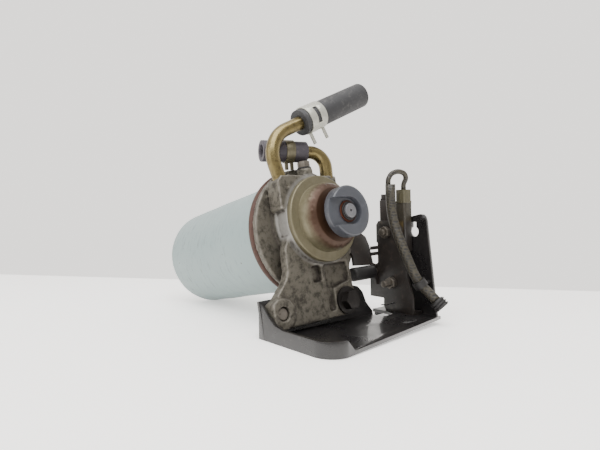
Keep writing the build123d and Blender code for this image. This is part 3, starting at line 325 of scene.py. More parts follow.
def weathered(name, colour, second, dirt, grain_mm, patch_mm, rough, spread=0.08, metal=0.0,
              coat=0.0, dirt_share=0.5, bump=0.12, ior=1.5):
    """Finish with two tones in patches, dirt in finer blots, and a fine grain."""
    material, shader, place = new_material(name)
    if shader is None:
        return material
    patches = add_node(material, "ShaderNodeTexNoise", {
        "Vector": place, "Scale": 1 / (patch_mm * MM), "Detail": 5.0, "Roughness": 0.6})
    tone = add_node(material, "ShaderNodeMix", {
        "Factor": patches.outputs["Fac"], "A": rgba(colour), "B": rgba(second)}, data_type="RGBA")
    blots = add_node(material, "ShaderNodeTexNoise", {
        "Vector": place, "Scale": 3.2 / (patch_mm * MM), "Detail": 8.0, "Roughness": 0.68})
    cover = add_node(material, "ShaderNodeMapRange", {
        "Value": blots.outputs["Fac"], "From Min": 0.72 - 0.4 * dirt_share,
        "From Max": 0.86 - 0.3 * dirt_share, "To Min": 0.0, "To Max": 0.85})
    dirty = add_node(material, "ShaderNodeMix", {
        "Factor": cover.outputs["Result"], "A": tone.outputs[2], "B": rgba(dirt)},
        data_type="RGBA")
    grain = add_node(material, "ShaderNodeTexNoise", {
        "Vector": place, "Scale": 1 / (grain_mm * MM), "Detail": 3.0})
    polish = add_node(material, "ShaderNodeMapRange", {
        "Value": patches.outputs["Fac"], "From Min": 0.3, "From Max": 0.7,
        "To Min": rough - spread, "To Max": rough + spread})
    relief = add_node(material, "ShaderNodeBump", {
        "Height": grain.outputs["Fac"], "Strength": bump, "Distance": 0.2 * MM})
    link_surface(material, shader, dirty, relief, polish)
    shader.inputs["Metallic"].default_value = metal
    shader.inputs["Coat Weight"].default_value = coat
    if metal < 0.5:
        shader.inputs["IOR"].default_value = ior
    return material


def canister_enamel():
    """Stove enamel over drawn steel: pale, satin, with dark rub marks round the can."""
    material, shader, place = new_material("canister_stove_enamel")
    if shader is None:
        return material
    # position along the canister, in metres, negative towards the closed end
    reach = add_node(material, "ShaderNodeVectorMath", {
        0: place, 1: FORWARD}, operation="DOT_PRODUCT")
    behind = add_node(material, "ShaderNodeMath", {
        0: reach.outputs["Value"], 1: FLANGE.dot(FORWARD)}, operation="SUBTRACT")
    clouds = add_node(material, "ShaderNodeTexNoise", {
        "Vector": place, "Scale": 1 / (38 * MM), "Detail": 4.0, "Roughness": 0.55})
    tone = add_node(material, "ShaderNodeMix", {
        "Factor": clouds.outputs["Fac"], "A": rgba(colours().canister), "B": rgba("#788888")},
        data_type="RGBA")
    # rub marks: about 16 mm long and 3 mm wide
    stretch = add_node(material, "ShaderNodeMapping", {
        "Vector": place, "Rotation": (0.0, 0.0, 0.6), "Scale": (1.0, 6.0, 1.6)})
    rubs = add_node(material, "ShaderNodeTexNoise", {
        "Vector": stretch.outputs["Vector"], "Scale": 1 / (16 * MM), "Detail": 9.0,
        "Roughness": 0.72})
    rub_lines = add_node(material, "ShaderNodeMapRange", {
        "Value": rubs.outputs["Fac"], "From Min": 0.56, "From Max": 0.64})
    near_end = add_node(material, "ShaderNodeMapRange", {
        "Value": behind.outputs[0], "From Min": -0.150, "From Max": -0.040,
        "To Min": 0.9, "To Max": 0.25})
    rub_share = add_node(material, "ShaderNodeMath", {
        0: rub_lines.outputs["Result"], 1: near_end.outputs["Result"]}, operation="MULTIPLY")
    rubbed = add_node(material, "ShaderNodeMix", {
        "Factor": rub_share.outputs[0], "A": tone.outputs[2], "B": rgba("#5E6162")},
        data_type="RGBA")
    chips = add_node(material, "ShaderNodeTexVoronoi", {
        "Vector": place, "Scale": 1 / (11 * MM), "Randomness": 1.0})
    chip_spots = add_node(material, "ShaderNodeMapRange", {
        "Value": chips.outputs["Distance"], "From Min": 0.035, "From Max": 0.075,
        "To Min": 1.0, "To Max": 0.0})
    chipped = add_node(material, "ShaderNodeMix", {
        "Factor": chip_spots.outputs["Result"], "A": rubbed.outputs[2], "B": rgba("#4A4340")},
        data_type="RGBA")
    orange_peel = add_node(material, "ShaderNodeTexNoise", {
        "Vector": place, "Scale": 1 / (1.4 * MM), "Detail": 2.0})
    relief = add_node(material, "ShaderNodeBump", {
        "Height": orange_peel.outputs["Fac"], "Strength": 0.06, "Distance": 0.1 * MM})
    polish = add_node(material, "ShaderNodeMapRange", {
        "Value": rubs.outputs["Fac"], "From Min": 0.3, "From Max": 0.7,
        "To Min": 0.38, "To Max": 0.56})
    link_surface(material, shader, chipped, relief, polish)
    return material


def seam_rust():
    """Folded steel rim with its paint gone: red-brown rust over grey."""
    return weathered("rusted_seam_steel", "#3A211A", "#4C352B", "#251A16", 0.8, 9, 0.72,
                     dirt_share=0.55, bump=0.3, metal=0.2)


def barrel_clean_and_highlight(material, place, dusty):
    """Clean satin metal with a painted highlight near the pump's axis, ahead of the flange, over the dusty colour.
    """
    offset = add_node(material, "ShaderNodeVectorMath", {0: place, 1: PUMP}, operation="SUBTRACT")
    along = add_node(material, "ShaderNodeVectorMath", {
        0: offset.outputs["Vector"], 1: FORWARD}, operation="DOT_PRODUCT")
    drop = add_node(material, "ShaderNodeVectorMath", {
        0: offset.outputs["Vector"], 1: offset.outputs["Vector"]}, operation="DOT_PRODUCT")
    square = add_node(material, "ShaderNodeMath", {
        0: along.outputs["Value"], 1: along.outputs["Value"]}, operation="MULTIPLY")
    left = add_node(material, "ShaderNodeMath", {
        0: drop.outputs["Value"], 1: square.outputs[0]}, operation="SUBTRACT")
    radius = add_node(material, "ShaderNodeMath", {0: left.outputs[0]}, operation="SQRT")
    near = add_node(material, "ShaderNodeMapRange", {
        "Value": radius.outputs[0], "From Min": 33.0 * MM, "From Max": 30.5 * MM})
    ahead = add_node(material, "ShaderNodeMapRange", {
        "Value": along.outputs["Value"], "From Min": 2.0 * MM, "From Max": 3.5 * MM})
    both = add_node(material, "ShaderNodeMath", {
        0: near.outputs["Result"], 1: ahead.outputs["Result"]}, operation="MULTIPLY")
    share = add_node(material, "ShaderNodeMath", {0: both.outputs[0], 1: 0.75},
                     operation="MULTIPLY")
    # painted highlight: a paler, cleaner colour on the barrel round the pump's axis
    return add_node(material, "ShaderNodeMix", {
        "Factor": share.outputs[0], "A": dusty, "B": rgba("#8B8985")}, data_type="RGBA")


def cast_aluminium():
    """Sand-cast aluminium: grey with brown fuel dust, darkened in its hollows by painted shade and grime, pale on
    its edges.
    """
    material, shader, place = new_material("weathered_cast_aluminium")
    if shader is None:
        return material
    patches = add_node(material, "ShaderNodeTexNoise", {
        "Vector": place, "Scale": 1 / (24 * MM), "Detail": 6.0, "Roughness": 0.62})
    tone = add_node(material, "ShaderNodeMix", {
        "Factor": patches.outputs["Fac"], "A": rgba(colours().casting), "B": rgba("#4A453B")},
        data_type="RGBA")
    blots = add_node(material, "ShaderNodeTexNoise", {
        "Vector": place, "Scale": 1 / (5 * MM), "Detail": 9.0, "Roughness": 0.7})
    cover = add_node(material, "ShaderNodeMapRange", {
        "Value": blots.outputs["Fac"], "From Min": 0.47, "From Max": 0.62, "To Max": 0.85})
    dusty = add_node(material, "ShaderNodeMix", {
        "Factor": cover.outputs["Result"], "A": tone.outputs[2], "B": rgba("#2A2620")},
        data_type="RGBA")
    # painted highlight on the barrel, with cleaner metal, laid over the dusty colour
    clean_and_highlit = barrel_clean_and_highlight(material, place, dusty.outputs[2])
    edges = add_node(material, "ShaderNodeAttribute", attribute_name="edge")
    rubbed = add_node(material, "ShaderNodeMapRange", {
        "Value": edges.outputs["Fac"], "From Min": 0.60, "From Max": 0.95, "To Max": 0.55})
    rub_break = add_node(material, "ShaderNodeMath", {
        0: rubbed.outputs["Result"], 1: patches.outputs["Fac"]}, operation="MULTIPLY")
    bright = add_node(material, "ShaderNodeMix", {
        "Factor": rub_break.outputs[0], "A": clean_and_highlit.outputs[2], "B": rgba("#A8A29A")},
        data_type="RGBA")
    # painted shade, with grime: the casting's hollows are darkened by how far they lie in
    hollow = add_node(material, "ShaderNodeMapRange", {
        "Value": edges.outputs["Fac"], "From Min": 0.46, "From Max": 0.28, "To Max": 0.85})
    dark = add_node(material, "ShaderNodeMix", {
        "Factor": hollow.outputs["Result"], "A": bright.outputs[2], "B": rgba("#2C2621")},
        data_type="RGBA")
    sand = add_node(material, "ShaderNodeTexNoise", {
        "Vector": place, "Scale": 1 / (0.9 * MM), "Detail": 4.0, "Roughness": 0.6})
    relief = add_node(material, "ShaderNodeBump", {
        "Height": sand.outputs["Fac"], "Strength": 0.35, "Distance": 0.25 * MM})
    polish = add_node(material, "ShaderNodeMapRange", {
        "Value": blots.outputs["Fac"], "From Min": 0.3, "From Max": 0.65,
        "To Min": 0.42, "To Max": 0.68})
    link_surface(material, shader, dark, relief, polish)
    shader.inputs["Metallic"].default_value = 0.55
    return material


def zinc_yellow():
    """Yellow passivated zinc on steel tube: glossy gold with brown stains."""
    return weathered("yellow_passivated_zinc", colours().zinc_yellow, "#695B38", "#3E3322",
                     0.7, 14, 0.30, metal=0.8, dirt_share=0.5, bump=0.08)


def cover_zinc():
    """Pressed cover in olive zinc that turns to rust on the face behind the knob."""
    material, shader, place = new_material("olive_zinc_pump_cover")
    if shader is None:
        return material
    reach = add_node(material, "ShaderNodeVectorMath", {
        0: place, 1: FORWARD}, operation="DOT_PRODUCT")
    ahead = add_node(material, "ShaderNodeMath", {
        0: reach.outputs["Value"], 1: PUMP.dot(FORWARD)}, operation="SUBTRACT")
    blots = add_node(material, "ShaderNodeTexNoise", {
        "Vector": place, "Scale": 1 / (6 * MM), "Detail": 8.0, "Roughness": 0.68})
    tone = add_node(material, "ShaderNodeMix", {
        "Factor": blots.outputs["Fac"], "A": rgba(colours().cover), "B": rgba("#544E3A")},
        data_type="RGBA")
    drift = add_node(material, "ShaderNodeMath", {
        0: blots.outputs["Fac"], 1: 3.0 * MM, 2: ahead.outputs[0]}, operation="MULTIPLY_ADD")
    face = add_node(material, "ShaderNodeMapRange", {
        "Value": drift.outputs[0], "From Min": 25.6 * MM, "From Max": 30.4 * MM, "To Max": 0.95})
    rusty = add_node(material, "ShaderNodeMix", {
        "Factor": face.outputs["Result"], "A": tone.outputs[2], "B": rgba("#3A2417")},
        data_type="RGBA")
    fine = add_node(material, "ShaderNodeTexNoise", {
        "Vector": place, "Scale": 1 / (0.8 * MM), "Detail": 3.0})
    relief = add_node(material, "ShaderNodeBump", {
        "Height": fine.outputs["Fac"], "Strength": 0.12, "Distance": 0.15 * MM})
    polish = add_node(material, "ShaderNodeMapRange", {
        "Value": blots.outputs["Fac"], "From Min": 0.3, "From Max": 0.7,
        "To Min": 0.34, "To Max": 0.52})
    link_surface(material, shader, rusty, relief, polish)
    shader.inputs["Metallic"].default_value = 0.5
    return material


def knob_plastic():
    """Moulded glass-filled nylon: slate grey, satin, with pale scuffs."""
    return weathered("slate_moulded_nylon", colours().knob, "#33353B", "#55575D", 0.9, 16, 0.40,
                     spread=0.07, dirt_share=0.30, bump=0.1)


def hose_rubber():
    """Extruded nitrile fuel hose: charcoal, matt, greyed by dust."""
    return weathered("charcoal_fuel_hose", colours().hose, "#262628", "#4C4A49", 0.8, 12, 0.62,
                     dirt_share=0.45, bump=0.25)


def aged_hose_rubber():
    """The older hose: nitrile gone purple-grey."""
    return weathered("aged_purple_grey_hose", "#3A353B", "#2E2A31", "#57504F", 0.8, 10, 0.6,
                     dirt_share=0.45, bump=0.25)


def clamp_zinc():
    """Bright zinc-plated spring band, close to white where it catches light."""
    return weathered("bright_zinc_spring_band", "#B9B9B0", "#9A998E", "#5F5B50", 0.8, 8, 0.38,
                     metal=0.5, dirt_share=0.3)


def clamp_khaki():
    """Yellow zinc spring band dulled to khaki."""
    return weathered("khaki_zinc_spring_band", "#6A644E", "#524D3D", "#36322A", 0.8, 6, 0.42,
                     metal=0.5, dirt_share=0.45)


def bracket_paint():
    """Black electro-coat on pressed steel: satin, filmed with grey road dust."""
    return weathered("black_dipped_steel", colours().bracket, "#1D1B1B", "#3C3936", 0.9, 22, 0.30,
                     spread=0.08, dirt_share=0.34, bump=0.08, coat=0.25)


def bracket_edge():
    """Bracket edges where the coat is rubbed through to steel."""
    return weathered("rubbed_black_steel_edge", "#4C4947", "#2F2D2C", "#6E6A66", 0.9, 7, 0.42,
                     dirt_share=0.5, metal=0.3)


def valve_bracket_paint():
    """Dark brown-grey paint on the valve bracket."""
    return weathered("brown_grey_dipped_steel", "#28221F", "#1D1A18", "#453C35", 0.9, 12, 0.46,
                     dirt_share=0.45, bump=0.15)


def dark_bolt():
    """Phosphated bolt steel: near black, slightly oily."""
    return weathered("phosphated_bolt_steel", "#191615", "#231F1D", "#3D3631", 0.6, 5, 0.36,
                     metal=0.6, dirt_share=0.35)


def plain_steel():
    """Zinc-plated steel, greyed."""
    return weathered("greyed_plated_steel", "#7B756D", "#5C564F", "#39322C", 0.6, 5, 0.4,
                     metal=0.8, dirt_share=0.4)


def rod_steel():
    """Turned rod end: matt light grey."""
    return weathered("turned_rod_steel", "#77777A", "#606064", "#3F3B39", 0.5, 4, 0.45,
                     metal=0.6, dirt_share=0.3)


def copper_washer():
    """Tarnished copper washer in the knob's recess."""
    return weathered("tarnished_copper_washer", "#59301F", "#442419", "#2A1913", 0.5, 4, 0.5,
                     metal=0.6, dirt_share=0.4)


def black_ring():
    """Blackened spring steel."""
    return weathered("blackened_spring_steel", "#1C1B1B", "#262423", "#3A3633", 0.5, 4, 0.5,
                     metal=0.3, dirt_share=0.3)


def front_valve_plastic():
    """Olive-black nylon of the near valve, darker low down, with a brassy seam strip."""
    name = "olive_black_nylon"
    if bpy.data.materials.get(name):
        return bpy.data.materials[name]
    material = weathered(name, "#302B20", "#231F18", "#443E2E", 0.8, 8, 0.45, dirt_share=0.42)
    links = material.node_tree.links
    shader = material.node_tree.nodes["Principled BSDF"]
    plain = shader.inputs["Base Color"].links[0].from_socket
    place = add_node(material, "ShaderNodeTexCoord").outputs["Object"]
    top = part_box("front_valve_body")[1].z
    apart = add_node(material, "ShaderNodeSeparateXYZ", {"Vector": place})
    # darker towards the bottom: below a set height the body takes a darker colour, brassy on one side
    darkened = add_node(material, "ShaderNodeMapRange", {
        "Value": apart.outputs["Z"],
        "From Min": top - 13.0 * MM, "From Max": top - 15.0 * MM})
    side = add_node(material, "ShaderNodeVectorMath", {
        0: place, 1: LEFTWARD}, operation="DOT_PRODUCT")
    strip = add_node(material, "ShaderNodeMath", {
        0: side.outputs["Value"], 1: middle("front_valve_body").dot(LEFTWARD) + 1.6 * MM},
        operation="GREATER_THAN")
    lower = add_node(material, "ShaderNodeMix", {
        "Factor": strip.outputs[0], "A": rgba("#1C1815"), "B": rgba("#4E4228")},
        data_type="RGBA")
    both = add_node(material, "ShaderNodeMix", {
        "Factor": darkened.outputs["Result"], "A": plain, "B": lower.outputs[2]},
        data_type="RGBA")
    links.new(both.outputs[2], shader.inputs["Base Color"])
    return material


def front_connector_plastic():
    """Olive nylon connector of the near valve."""
    return weathered("olive_nylon_connector", "#4A4530", "#3A3626", "#5C5640", 0.8, 8, 0.48,
                     dirt_share=0.42)


def rear_valve_plastic():
    """Moulded black nylon of the far valve, with a red-brown cast."""
    return weathered("red_black_nylon", "#2B2320", "#1D1918", "#463932", 0.8, 8, 0.48,
                     dirt_share=0.42)


def black_rubber():
    """Moulded black rubber."""
    return weathered("moulded_black_rubber", "#181717", "#211F1F", "#35312E", 0.7, 6, 0.6,
                     dirt_share=0.35, bump=0.2)


def gasket_rubber():
    """Square-cut nitrile gasket, near black."""
    return weathered("nitrile_gasket", "#171717", "#1F1E1E", "#2D2B2A", 0.7, 8, 0.5)


def spring_wire():
    """Drawn spring wire, bright grey."""
    return weathered("drawn_spring_wire", "#A3A3A5", "#878789", "#66635F", 0.4, 4, 0.3,
                     metal=1.0, dirt_share=0.25)


def brass():
    """Turned brass, slightly dulled."""
    return weathered("turned_brass", "#B89B5B", "#9C8249", "#6E5A36", 0.4, 5, 0.34, metal=1.0,
                     dirt_share=0.3)


def winding():
    """Enamelled copper winding."""
    return weathered("enamelled_copper_winding", "#A45C33", "#87482A", "#5E3520", 0.4, 3, 0.35,
                     metal=0.8, dirt_share=0.3)


def pleated_paper():
    """Resin-stiffened filter paper, warm cream, fibrous."""
    return weathered("pleated_filter_paper", "#CDBB8C", "#BFAA78", "#A58F60", 0.5, 7, 0.85,
                     dirt_share=0.3, bump=0.3)


def braided_sleeve():
    """Braided glass-fibre sleeve: khaki strands crossing over black."""
    material, shader, place = new_material("braided_sleeve")
    if shader is None:
        return material
    strands = []
    for lean in (Vector((0.5, 1.0, 0.15)), Vector((-0.3, -0.45, 1.0))):
        across = add_node(material, "ShaderNodeVectorMath", {
            0: place, 1: lean.normalized() * (1 / sizes().braid_pitch)}, operation="DOT_PRODUCT")
        line = add_node(material, "ShaderNodeCombineXYZ", {"X": across.outputs["Value"]})
        strands.append(add_node(material, "ShaderNodeTexWave", {
            "Vector": line.outputs["Vector"], "Scale": 0.55, "Distortion": 0.0}))
    weave = add_node(material, "ShaderNodeMath", {
        0: strands[0].outputs["Fac"], 1: strands[1].outputs["Fac"]}, operation="MAXIMUM")
    grime = add_node(material, "ShaderNodeTexNoise", {
        "Vector": place, "Scale": 1 / (9 * MM), "Detail": 5.0, "Roughness": 0.65})
    strand = add_node(material, "ShaderNodeMapRange", {
        "Value": weave.outputs[0], "From Min": 0.45, "From Max": 0.95, "To Max": 0.9})
    base = add_node(material, "ShaderNodeMix", {
        "Factor": strand.outputs["Result"], "A": rgba("#11100F"), "B": rgba("#45402F")},
        data_type="RGBA")
    darkened = add_node(material, "ShaderNodeMix", {
        "Factor": grime.outputs["Fac"], "A": base.outputs[2], "B": rgba("#1F1B18")},
        data_type="RGBA")
    relief = add_node(material, "ShaderNodeBump", {
        "Height": weave.outputs[0], "Strength": 0.5, "Distance": 0.3 * MM})
    link_surface(material, shader, darkened, relief)
    shader.inputs["Roughness"].default_value = 0.52
    return material


# ------------------------------------------------------------------ canister

def turned_to(direction):
    return direction.to_track_quat("Z", "Y").to_euler()


def canister_shell():
    """Drawn can with a rounded closed end, a flared rim and shallow dents."""
    take()
    bpy.ops.mesh.primitive_cylinder_add(
        vertices=sizes().can_sides, radius=CAN_RADIUS, depth=CAN_MOUTH - CAN_END,
        location=FLANGE + FORWARD * (CAN_END + CAN_MOUTH) / 2, rotation=turned_to(FORWARD))
    shell = bpy.context.object
    shell.name = "canister_shell"
    settle(shell)
    # the closed end gets its drawn radius
    bpy.ops.object.mode_set(mode="EDIT")
    bpy.ops.mesh.select_mode(type="EDGE")
    bpy.ops.mesh.select_all(action="DESELECT")
    mesh = bmesh.from_edit_mesh(shell.data)
    for edge in mesh.edges:
        ends = [(v.co - FLANGE).dot(FORWARD) for v in edge.verts]
        edge.select = max(ends) < CAN_END + 1 * MM
    bmesh.update_edit_mesh(shell.data)
    bpy.ops.mesh.bevel(offset=CAN_END_ROUNDING, segments=8, affect="EDGES")
    # rings along the side, so that it can carry dents
    for step in range(1, CAN_RINGS + 1):
        bpy.ops.mesh.select_all(action="SELECT")
        bpy.ops.mesh.bisect(plane_co=FLANGE + FORWARD * (CAN_END + step * CAN_RING_STEP),
                            plane_no=FORWARD)
    # the open end flares out into the seam
    bpy.ops.mesh.select_mode(type="FACE")
    bpy.ops.mesh.select_all(action="DESELECT")
    mesh = bmesh.from_edit_mesh(shell.data)
    for face in mesh.faces:
        ends = [(v.co - FLANGE).dot(FORWARD) for v in face.verts]
        face.select = min(ends) > CAN_MOUTH - 0.1 * MM
    bmesh.update_edit_mesh(shell.data)
    bpy.ops.mesh.extrude_region_move(TRANSFORM_OT_translate={"value": FORWARD * 0.4 * MM})
    bpy.ops.transform.resize(value=(1.08, 1.08, 1.08),
                             center_override=FLANGE + FORWARD * CAN_MOUTH)
    bpy.ops.mesh.extrude_region_move(TRANSFORM_OT_translate={"value": FORWARD * 0.6 * MM})
    bpy.ops.mesh.delete(type="FACE")
    bpy.ops.mesh.select_all(action="SELECT")
    bpy.ops.mesh.normals_make_consistent(inside=False)
    bpy.ops.object.mode_set(mode="OBJECT")
    dents = bpy.data.textures.new("canister_dents", "CLOUDS")
    dents.noise_scale = 34 * MM
    dents.noise_depth = 1
    fix_modifier(shell, "DISPLACE", texture=dents, strength=0.7 * MM, mid_level=0.62,
                 texture_coords="LOCAL")
    fix_modifier(shell, "SOLIDIFY", thickness=CAN_WALL, offset=-1.0)
    smooth_faces(shell, 40)
    return finish_piece(shell, "filter_can", canister_enamel())


class FUEL_FILTER_OT_canister(bpy.types.Operator):
    """Finish the screw-on canister and the filter element inside it"""
    bl_idname = "fuel_filter.canister"
    bl_label = "Canister"

    def execute(self, context):
        canister_shell()
        soft_edged("can_retainer", 0.5 * MM, seam_rust())
        smooth_piece("filter_gasket", gasket_rubber())
        smooth_piece("element_seal", gasket_rubber())
        smooth_piece("filter_paper", pleated_paper())
        smooth_piece("support_spring", spring_wire())
        for node in ("tapping_plate", "centre_tube", "upper_end_cap", "lower_end_cap"):
            smooth_piece(node, plain_steel())
        return {"FINISHED"}


# ------------------------------------------------------------------ head

def mark_edges(piece):
    """Stores how far each point stands out (over 0.5) or lies in a hollow (under 0.5)."""
    mesh = bmesh.new()
    mesh.from_mesh(piece.data)
    mesh.normal_update()
    values = []
    for vertex in mesh.verts:
        total = 0.0
        for edge in vertex.link_edges:
            run = edge.other_vert(vertex).co - vertex.co
            total -= vertex.normal.dot(run.normalized())
        values.append(total / max(1, len(vertex.link_edges)))
    for _ in range(2):
        values = [(values[v.index] + sum(values[e.other_vert(v).index] for e in v.link_edges)
                   / len(v.link_edges)) / 2 for v in mesh.verts]
    mesh.free()
    store = piece.data.attributes.new("edge", "FLOAT", "POINT")
    store.data.foreach_set("value", [min(1.0, max(0.0, 0.5 + EDGE_CONTRAST * value))
                                     for value in values])


def head_casting():
    """The casting, with every edge softened as sand-cast metal is."""
    piece = merged_copy("filter_head", "head_casting")
    fix_modifier(piece, "REMESH", mode="VOXEL", voxel_size=sizes().cast_edge)
    fix_modifier(piece, "SMOOTH", factor=0.5, iterations=4)
    lumps = bpy.data.textures.new("casting_lumps", "CLOUDS")
    lumps.noise_scale = 7 * MM
    fix_modifier(piece, "DISPLACE", texture=lumps, strength=0.35 * MM, mid_level=0.5,
                 texture_coords="LOCAL")
    mark_edges(piece)
    take(piece)
    bpy.ops.object.shade_smooth()
    return finish_piece(piece, "filter_head", cast_aluminium())


class FUEL_FILTER_OT_head(bpy.types.Operator):
    """Finish the cast head, its nipple, check valves and bleed plug"""
    bl_idname = "fuel_filter.head"
    bl_label = "Head"

    def execute(self, context):
        head_casting()
        edge = sizes().machined_edge
        smooth_piece("filter_nipple", plain_steel())
        soft_edged("bleed_plug", edge, plain_steel())
        smooth_piece("bleed_washer", black_ring())
        for side in ("inlet", "outlet"):
            smooth_piece(side + "_valve_cartridge", brass())
            smooth_piece(side + "_valve_disc", black_rubber())
            coil_spring(side + "_valve_spring")
        return {"FINISHED"}


# ------------------------------------------------------------------ tubes and hoses

class FUEL_FILTER_OT_tubes(bpy.types.Operator):
    """Finish the fuel tubes, hose stubs and spring band clamps"""
    bl_idname = "fuel_filter.tubes"
    bl_label = "Tubes and hoses"

    def execute(self, context):
        smooth_piece("left_fuel_tube", zinc_yellow())
        smooth_piece("right_fuel_tube", zinc_yellow())
        soft_edged("long_hose", 0.6 * MM, hose_rubber())
        soft_edged("short_hose", 0.6 * MM, aged_hose_rubber())
        soft_edged("long_hose_clamp", 0.2 * MM, clamp_zinc())
        soft_edged("short_hose_clamp", 0.2 * MM, clamp_khaki())
        return {"FINISHED"}


# ------------------------------------------------------------------ priming pump

class FUEL_FILTER_OT_pump(bpy.types.Operator):
    """Finish the priming pump, its knob and the parts inside"""
    bl_idname = "fuel_filter.pump"
    bl_label = "Priming pump"

    def execute(self, context):
        soft_edged("pump_cover", 0.4 * MM, cover_zinc())
        soft_edged("pump_knob", sizes().moulded_edge, knob_plastic())
        soft_edged("plunger_rod", 0.3 * MM, rod_steel())
        soft_edged("knob_washer", 0.15 * MM, copper_washer())
        soft_edged("knob_clip", 0.25 * MM, black_ring())
        smooth_piece("pump_diaphragm", black_rubber())
        smooth_piece("inner_diaphragm_plate", plain_steel())
        smooth_piece("outer_diaphragm_plate", plain_steel())
        coil_spring("pump_spring")
        smooth_piece("rod_bush", brass())
        smooth_piece("rod_seal", black_rubber())
        return {"FINISHED"}


# ------------------------------------------------------------------ brackets and valves

class FUEL_FILTER_OT_mounting(bpy.types.Operator):
    """Finish the mounting bracket and its bolts"""
    bl_idname = "fuel_filter.mounting"
    bl_label = "Mounting bracket"

    def execute(self, context):
        soft_edged("mounting_bracket", sizes().sheet_edge, bracket_paint(), bracket_edge())
        edge = sizes().machined_edge
        soft_edged("front_bolt", edge, dark_bolt())
        soft_edged("weld_nut", edge, dark_bolt())
        soft_edged("rear_bolt", edge, plain_steel())
        return {"FINISHED"}


class FUEL_FILTER_OT_valves(bpy.types.Operator):
    """Finish the valve bracket, both solenoid valves and what holds them"""
    bl_idname = "fuel_filter.valves"
    bl_label = "Solenoid valves"

    def execute(self, context):
        edge = sizes().machined_edge
        soft_edged("valve_bracket", 0.35 * MM, valve_bracket_paint(), bracket_edge())
        soft_edged("stud_nuts", edge, plain_steel())
        soft_edged("stud_spacer", edge, plain_steel())
        soft_edged("bracket_studs", edge, plain_steel())
        smooth_piece("port_pipe", plain_steel())
        soft_edged("port_cap", 0.5 * MM, black_rubber())
        moulded = sizes().moulded_edge
        soft_edged("front_valve_body", moulded, front_valve_plastic())
        soft_edged("rear_valve_body", moulded, rear_valve_plastic())
        soft_edged("front_connector", moulded, front_connector_plastic())
        soft_edged("rear_connector", moulded, rear_valve_plastic())
        smooth_piece("valve_coils", winding())
        for side in ("front", "rear"):
            smooth_piece(side + "_armature", plain_steel())
            coil_spring(side + "_armature_spring")
        return {"FINISHED"}


# ------------------------------------------------------------------ wiring lead

class FUEL_FILTER_OT_lead(bpy.types.Operator):
    """Finish the sleeved wiring lead, its loop, clip and plug"""
    bl_idname = "fuel_filter.lead"
    bl_label = "Wiring lead"

    def execute(self, context):
        smooth_piece("lead_sheath", braided_sleeve())
        smooth_piece("lead_loop", braided_sleeve())
        soft_edged("lead_plug", 0.3 * MM, black_rubber())
        soft_edged("lead_clip", 0.3 * MM, black_ring())
        return {"FINISHED"}


# ------------------------------------------------------------------ stage

def board_material():
    """White laminate board: matt, faintly bright so that it reads as paper white."""
    material, shader, _ = new_material("white_laminate_board")
    if shader is None:
        return material
    shader.inputs["Base Color"].default_value = rgba(stage_settings().board_color)
    shader.inputs["Roughness"].default_value = 0.55
    shader.inputs["Emission Color"].default_value = (1.0, 0.985, 0.965, 1.0)
    shader.inputs["Emission Strength"].default_value = 0.6
    return material


def add_area(name, place, aim, size, power, colour=(1.0, 1.0, 1.0)):
    light = bpy.data.lights.new(name, "AREA")
    light.energy = power
    light.size = size
    light.color = colour
    lamp = bpy.data.objects.new(name, light)
    bpy.context.scene.collection.objects.link(lamp)
    lamp.location = place
    lamp.rotation_euler = (Vector(aim) - Vector(place)).to_track_quat("-Z", "Y").to_euler()


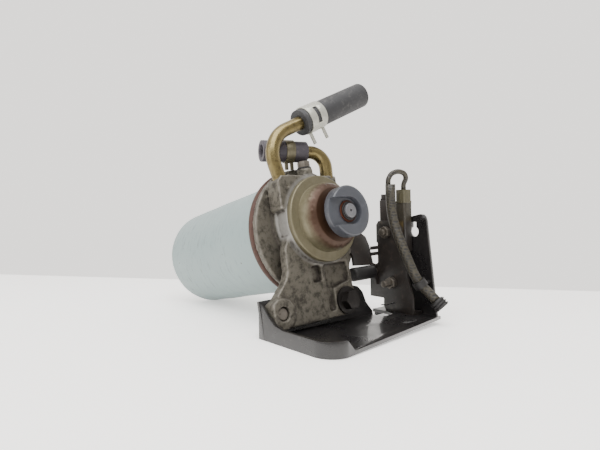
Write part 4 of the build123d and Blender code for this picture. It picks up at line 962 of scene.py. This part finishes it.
class FUEL_FILTER_OT_stage(bpy.types.Operator):
    """Set up the camera, the white board, the soft lights and the pale surroundings"""
    bl_idname = "fuel_filter.stage"
    bl_label = "Stage"

    def execute(self, context):
        settings = stage_settings()
        data = bpy.data.cameras.new("view_camera")
        data.lens = settings.lens
        data.sensor_width = 36
        data.clip_start = 0.01
        camera = bpy.data.objects.new("view_camera", data)
        context.scene.collection.objects.link(camera)
        back = CAMERA_RIGHT.cross(CAMERA_UP).normalized()
        turn = Matrix((CAMERA_RIGHT, back.cross(CAMERA_RIGHT), back)).transposed().to_4x4()
        camera.matrix_world = Matrix.Translation(FLANGE + CAMERA_PLACE) @ turn
        context.scene.camera = camera
        # the board's far edge runs slantwise to the camera, and the rest is out of its view
        ahead = Vector((-back.x, -back.y, 0)).normalized()
        across = Vector((ahead.y, -ahead.x, 0))
        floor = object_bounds()[0].z
        below = Vector((camera.location.x, camera.location.y, floor))
        corners = []
        for side in (-BOARD_SIDE, BOARD_SIDE):
            corners.append(below + across * side + ahead * (BOARD_AHEAD - side * BOARD_SLANT))
        for side in (BOARD_SIDE, -BOARD_SIDE):
            corners.append(below + across * side - ahead * BOARD_BACK)
        mesh = bpy.data.meshes.new("white_board")
        mesh.from_pydata([tuple(c) for c in corners], [], [(3, 2, 1, 0)])
        board = bpy.data.objects.new("white_board", mesh)
        context.scene.collection.objects.link(board)
        mesh.materials.append(board_material())
        fix_modifier(board, "SOLIDIFY", thickness=BOARD_THICKNESS, offset=-1.0)
        board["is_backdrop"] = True
        add_area("overhead_softbox", (-0.35, -0.35, 1.1), (0, 0, 0.05), 1.1, settings.key_power)
        add_area("left_softbox", (-0.9, 0.1, 0.55), (0, 0, 0.08), 0.8, settings.fill_power)
        world = bpy.data.worlds.new("pale_surroundings")
        world.use_nodes = True
        sky = world.node_tree.nodes["Background"]
        sky.inputs["Color"].default_value = rgba(settings.backdrop_color)
        # brighter from beyond the board than from the viewer's side
        side = add_node(world, "ShaderNodeVectorMath", {
            0: add_node(world, "ShaderNodeTexCoord").outputs["Generated"], 1: ahead},
            operation="DOT_PRODUCT")
        level = add_node(world, "ShaderNodeMapRange", {
            "Value": side.outputs["Value"], "From Min": -0.3, "From Max": 0.6,
            "To Min": settings.room_strength, "To Max": settings.backdrop_strength})
        world.node_tree.links.new(level.outputs["Result"], sky.inputs["Strength"])
        context.scene.world = world
        return {"FINISHED"}


class FUEL_FILTER_PT_panel(bpy.types.Panel):
    """Lists the pieces and their settings"""
    bl_idname = "FUEL_FILTER_PT_panel"
    bl_label = "Fuel filter"
    bl_space_type = "VIEW_3D"
    bl_region_type = "UI"
    bl_category = "Fuel filter"

    def draw(self, context):
        for operator in OPERATORS:
            self.layout.operator(operator.bl_idname)
        for group in (stage_settings(), sizes(), colours()):
            box = self.layout.box()
            for name in group.__annotations__:
                box.prop(group, name)


SETTINGS = (StageSettings, SizeSettings, ColourSettings)
OPERATORS = (FUEL_FILTER_OT_stage, FUEL_FILTER_OT_canister, FUEL_FILTER_OT_head,
             FUEL_FILTER_OT_tubes, FUEL_FILTER_OT_pump, FUEL_FILTER_OT_mounting,
             FUEL_FILTER_OT_valves, FUEL_FILTER_OT_lead)


def register():
    for one in (*SETTINGS, *OPERATORS, FUEL_FILTER_PT_panel):
        bpy.utils.register_class(one)
    bpy.types.Scene.fuel_filter_stage = PointerProperty(type=StageSettings)
    bpy.types.Scene.fuel_filter_sizes = PointerProperty(type=SizeSettings)
    bpy.types.Scene.fuel_filter_colours = PointerProperty(type=ColourSettings)


def unregister():
    del bpy.types.Scene.fuel_filter_stage
    del bpy.types.Scene.fuel_filter_sizes
    del bpy.types.Scene.fuel_filter_colours
    for one in (FUEL_FILTER_PT_panel, *reversed(OPERATORS), *reversed(SETTINGS)):
        bpy.utils.unregister_class(one)


def main():
    register()
    bpy.ops.fuel_filter.stage()
    bpy.ops.fuel_filter.canister()
    bpy.ops.fuel_filter.head()
    bpy.ops.fuel_filter.tubes()
    bpy.ops.fuel_filter.pump()
    bpy.ops.fuel_filter.mounting()
    bpy.ops.fuel_filter.valves()
    bpy.ops.fuel_filter.lead()
    take()


if __name__ == "__main__":
    main()
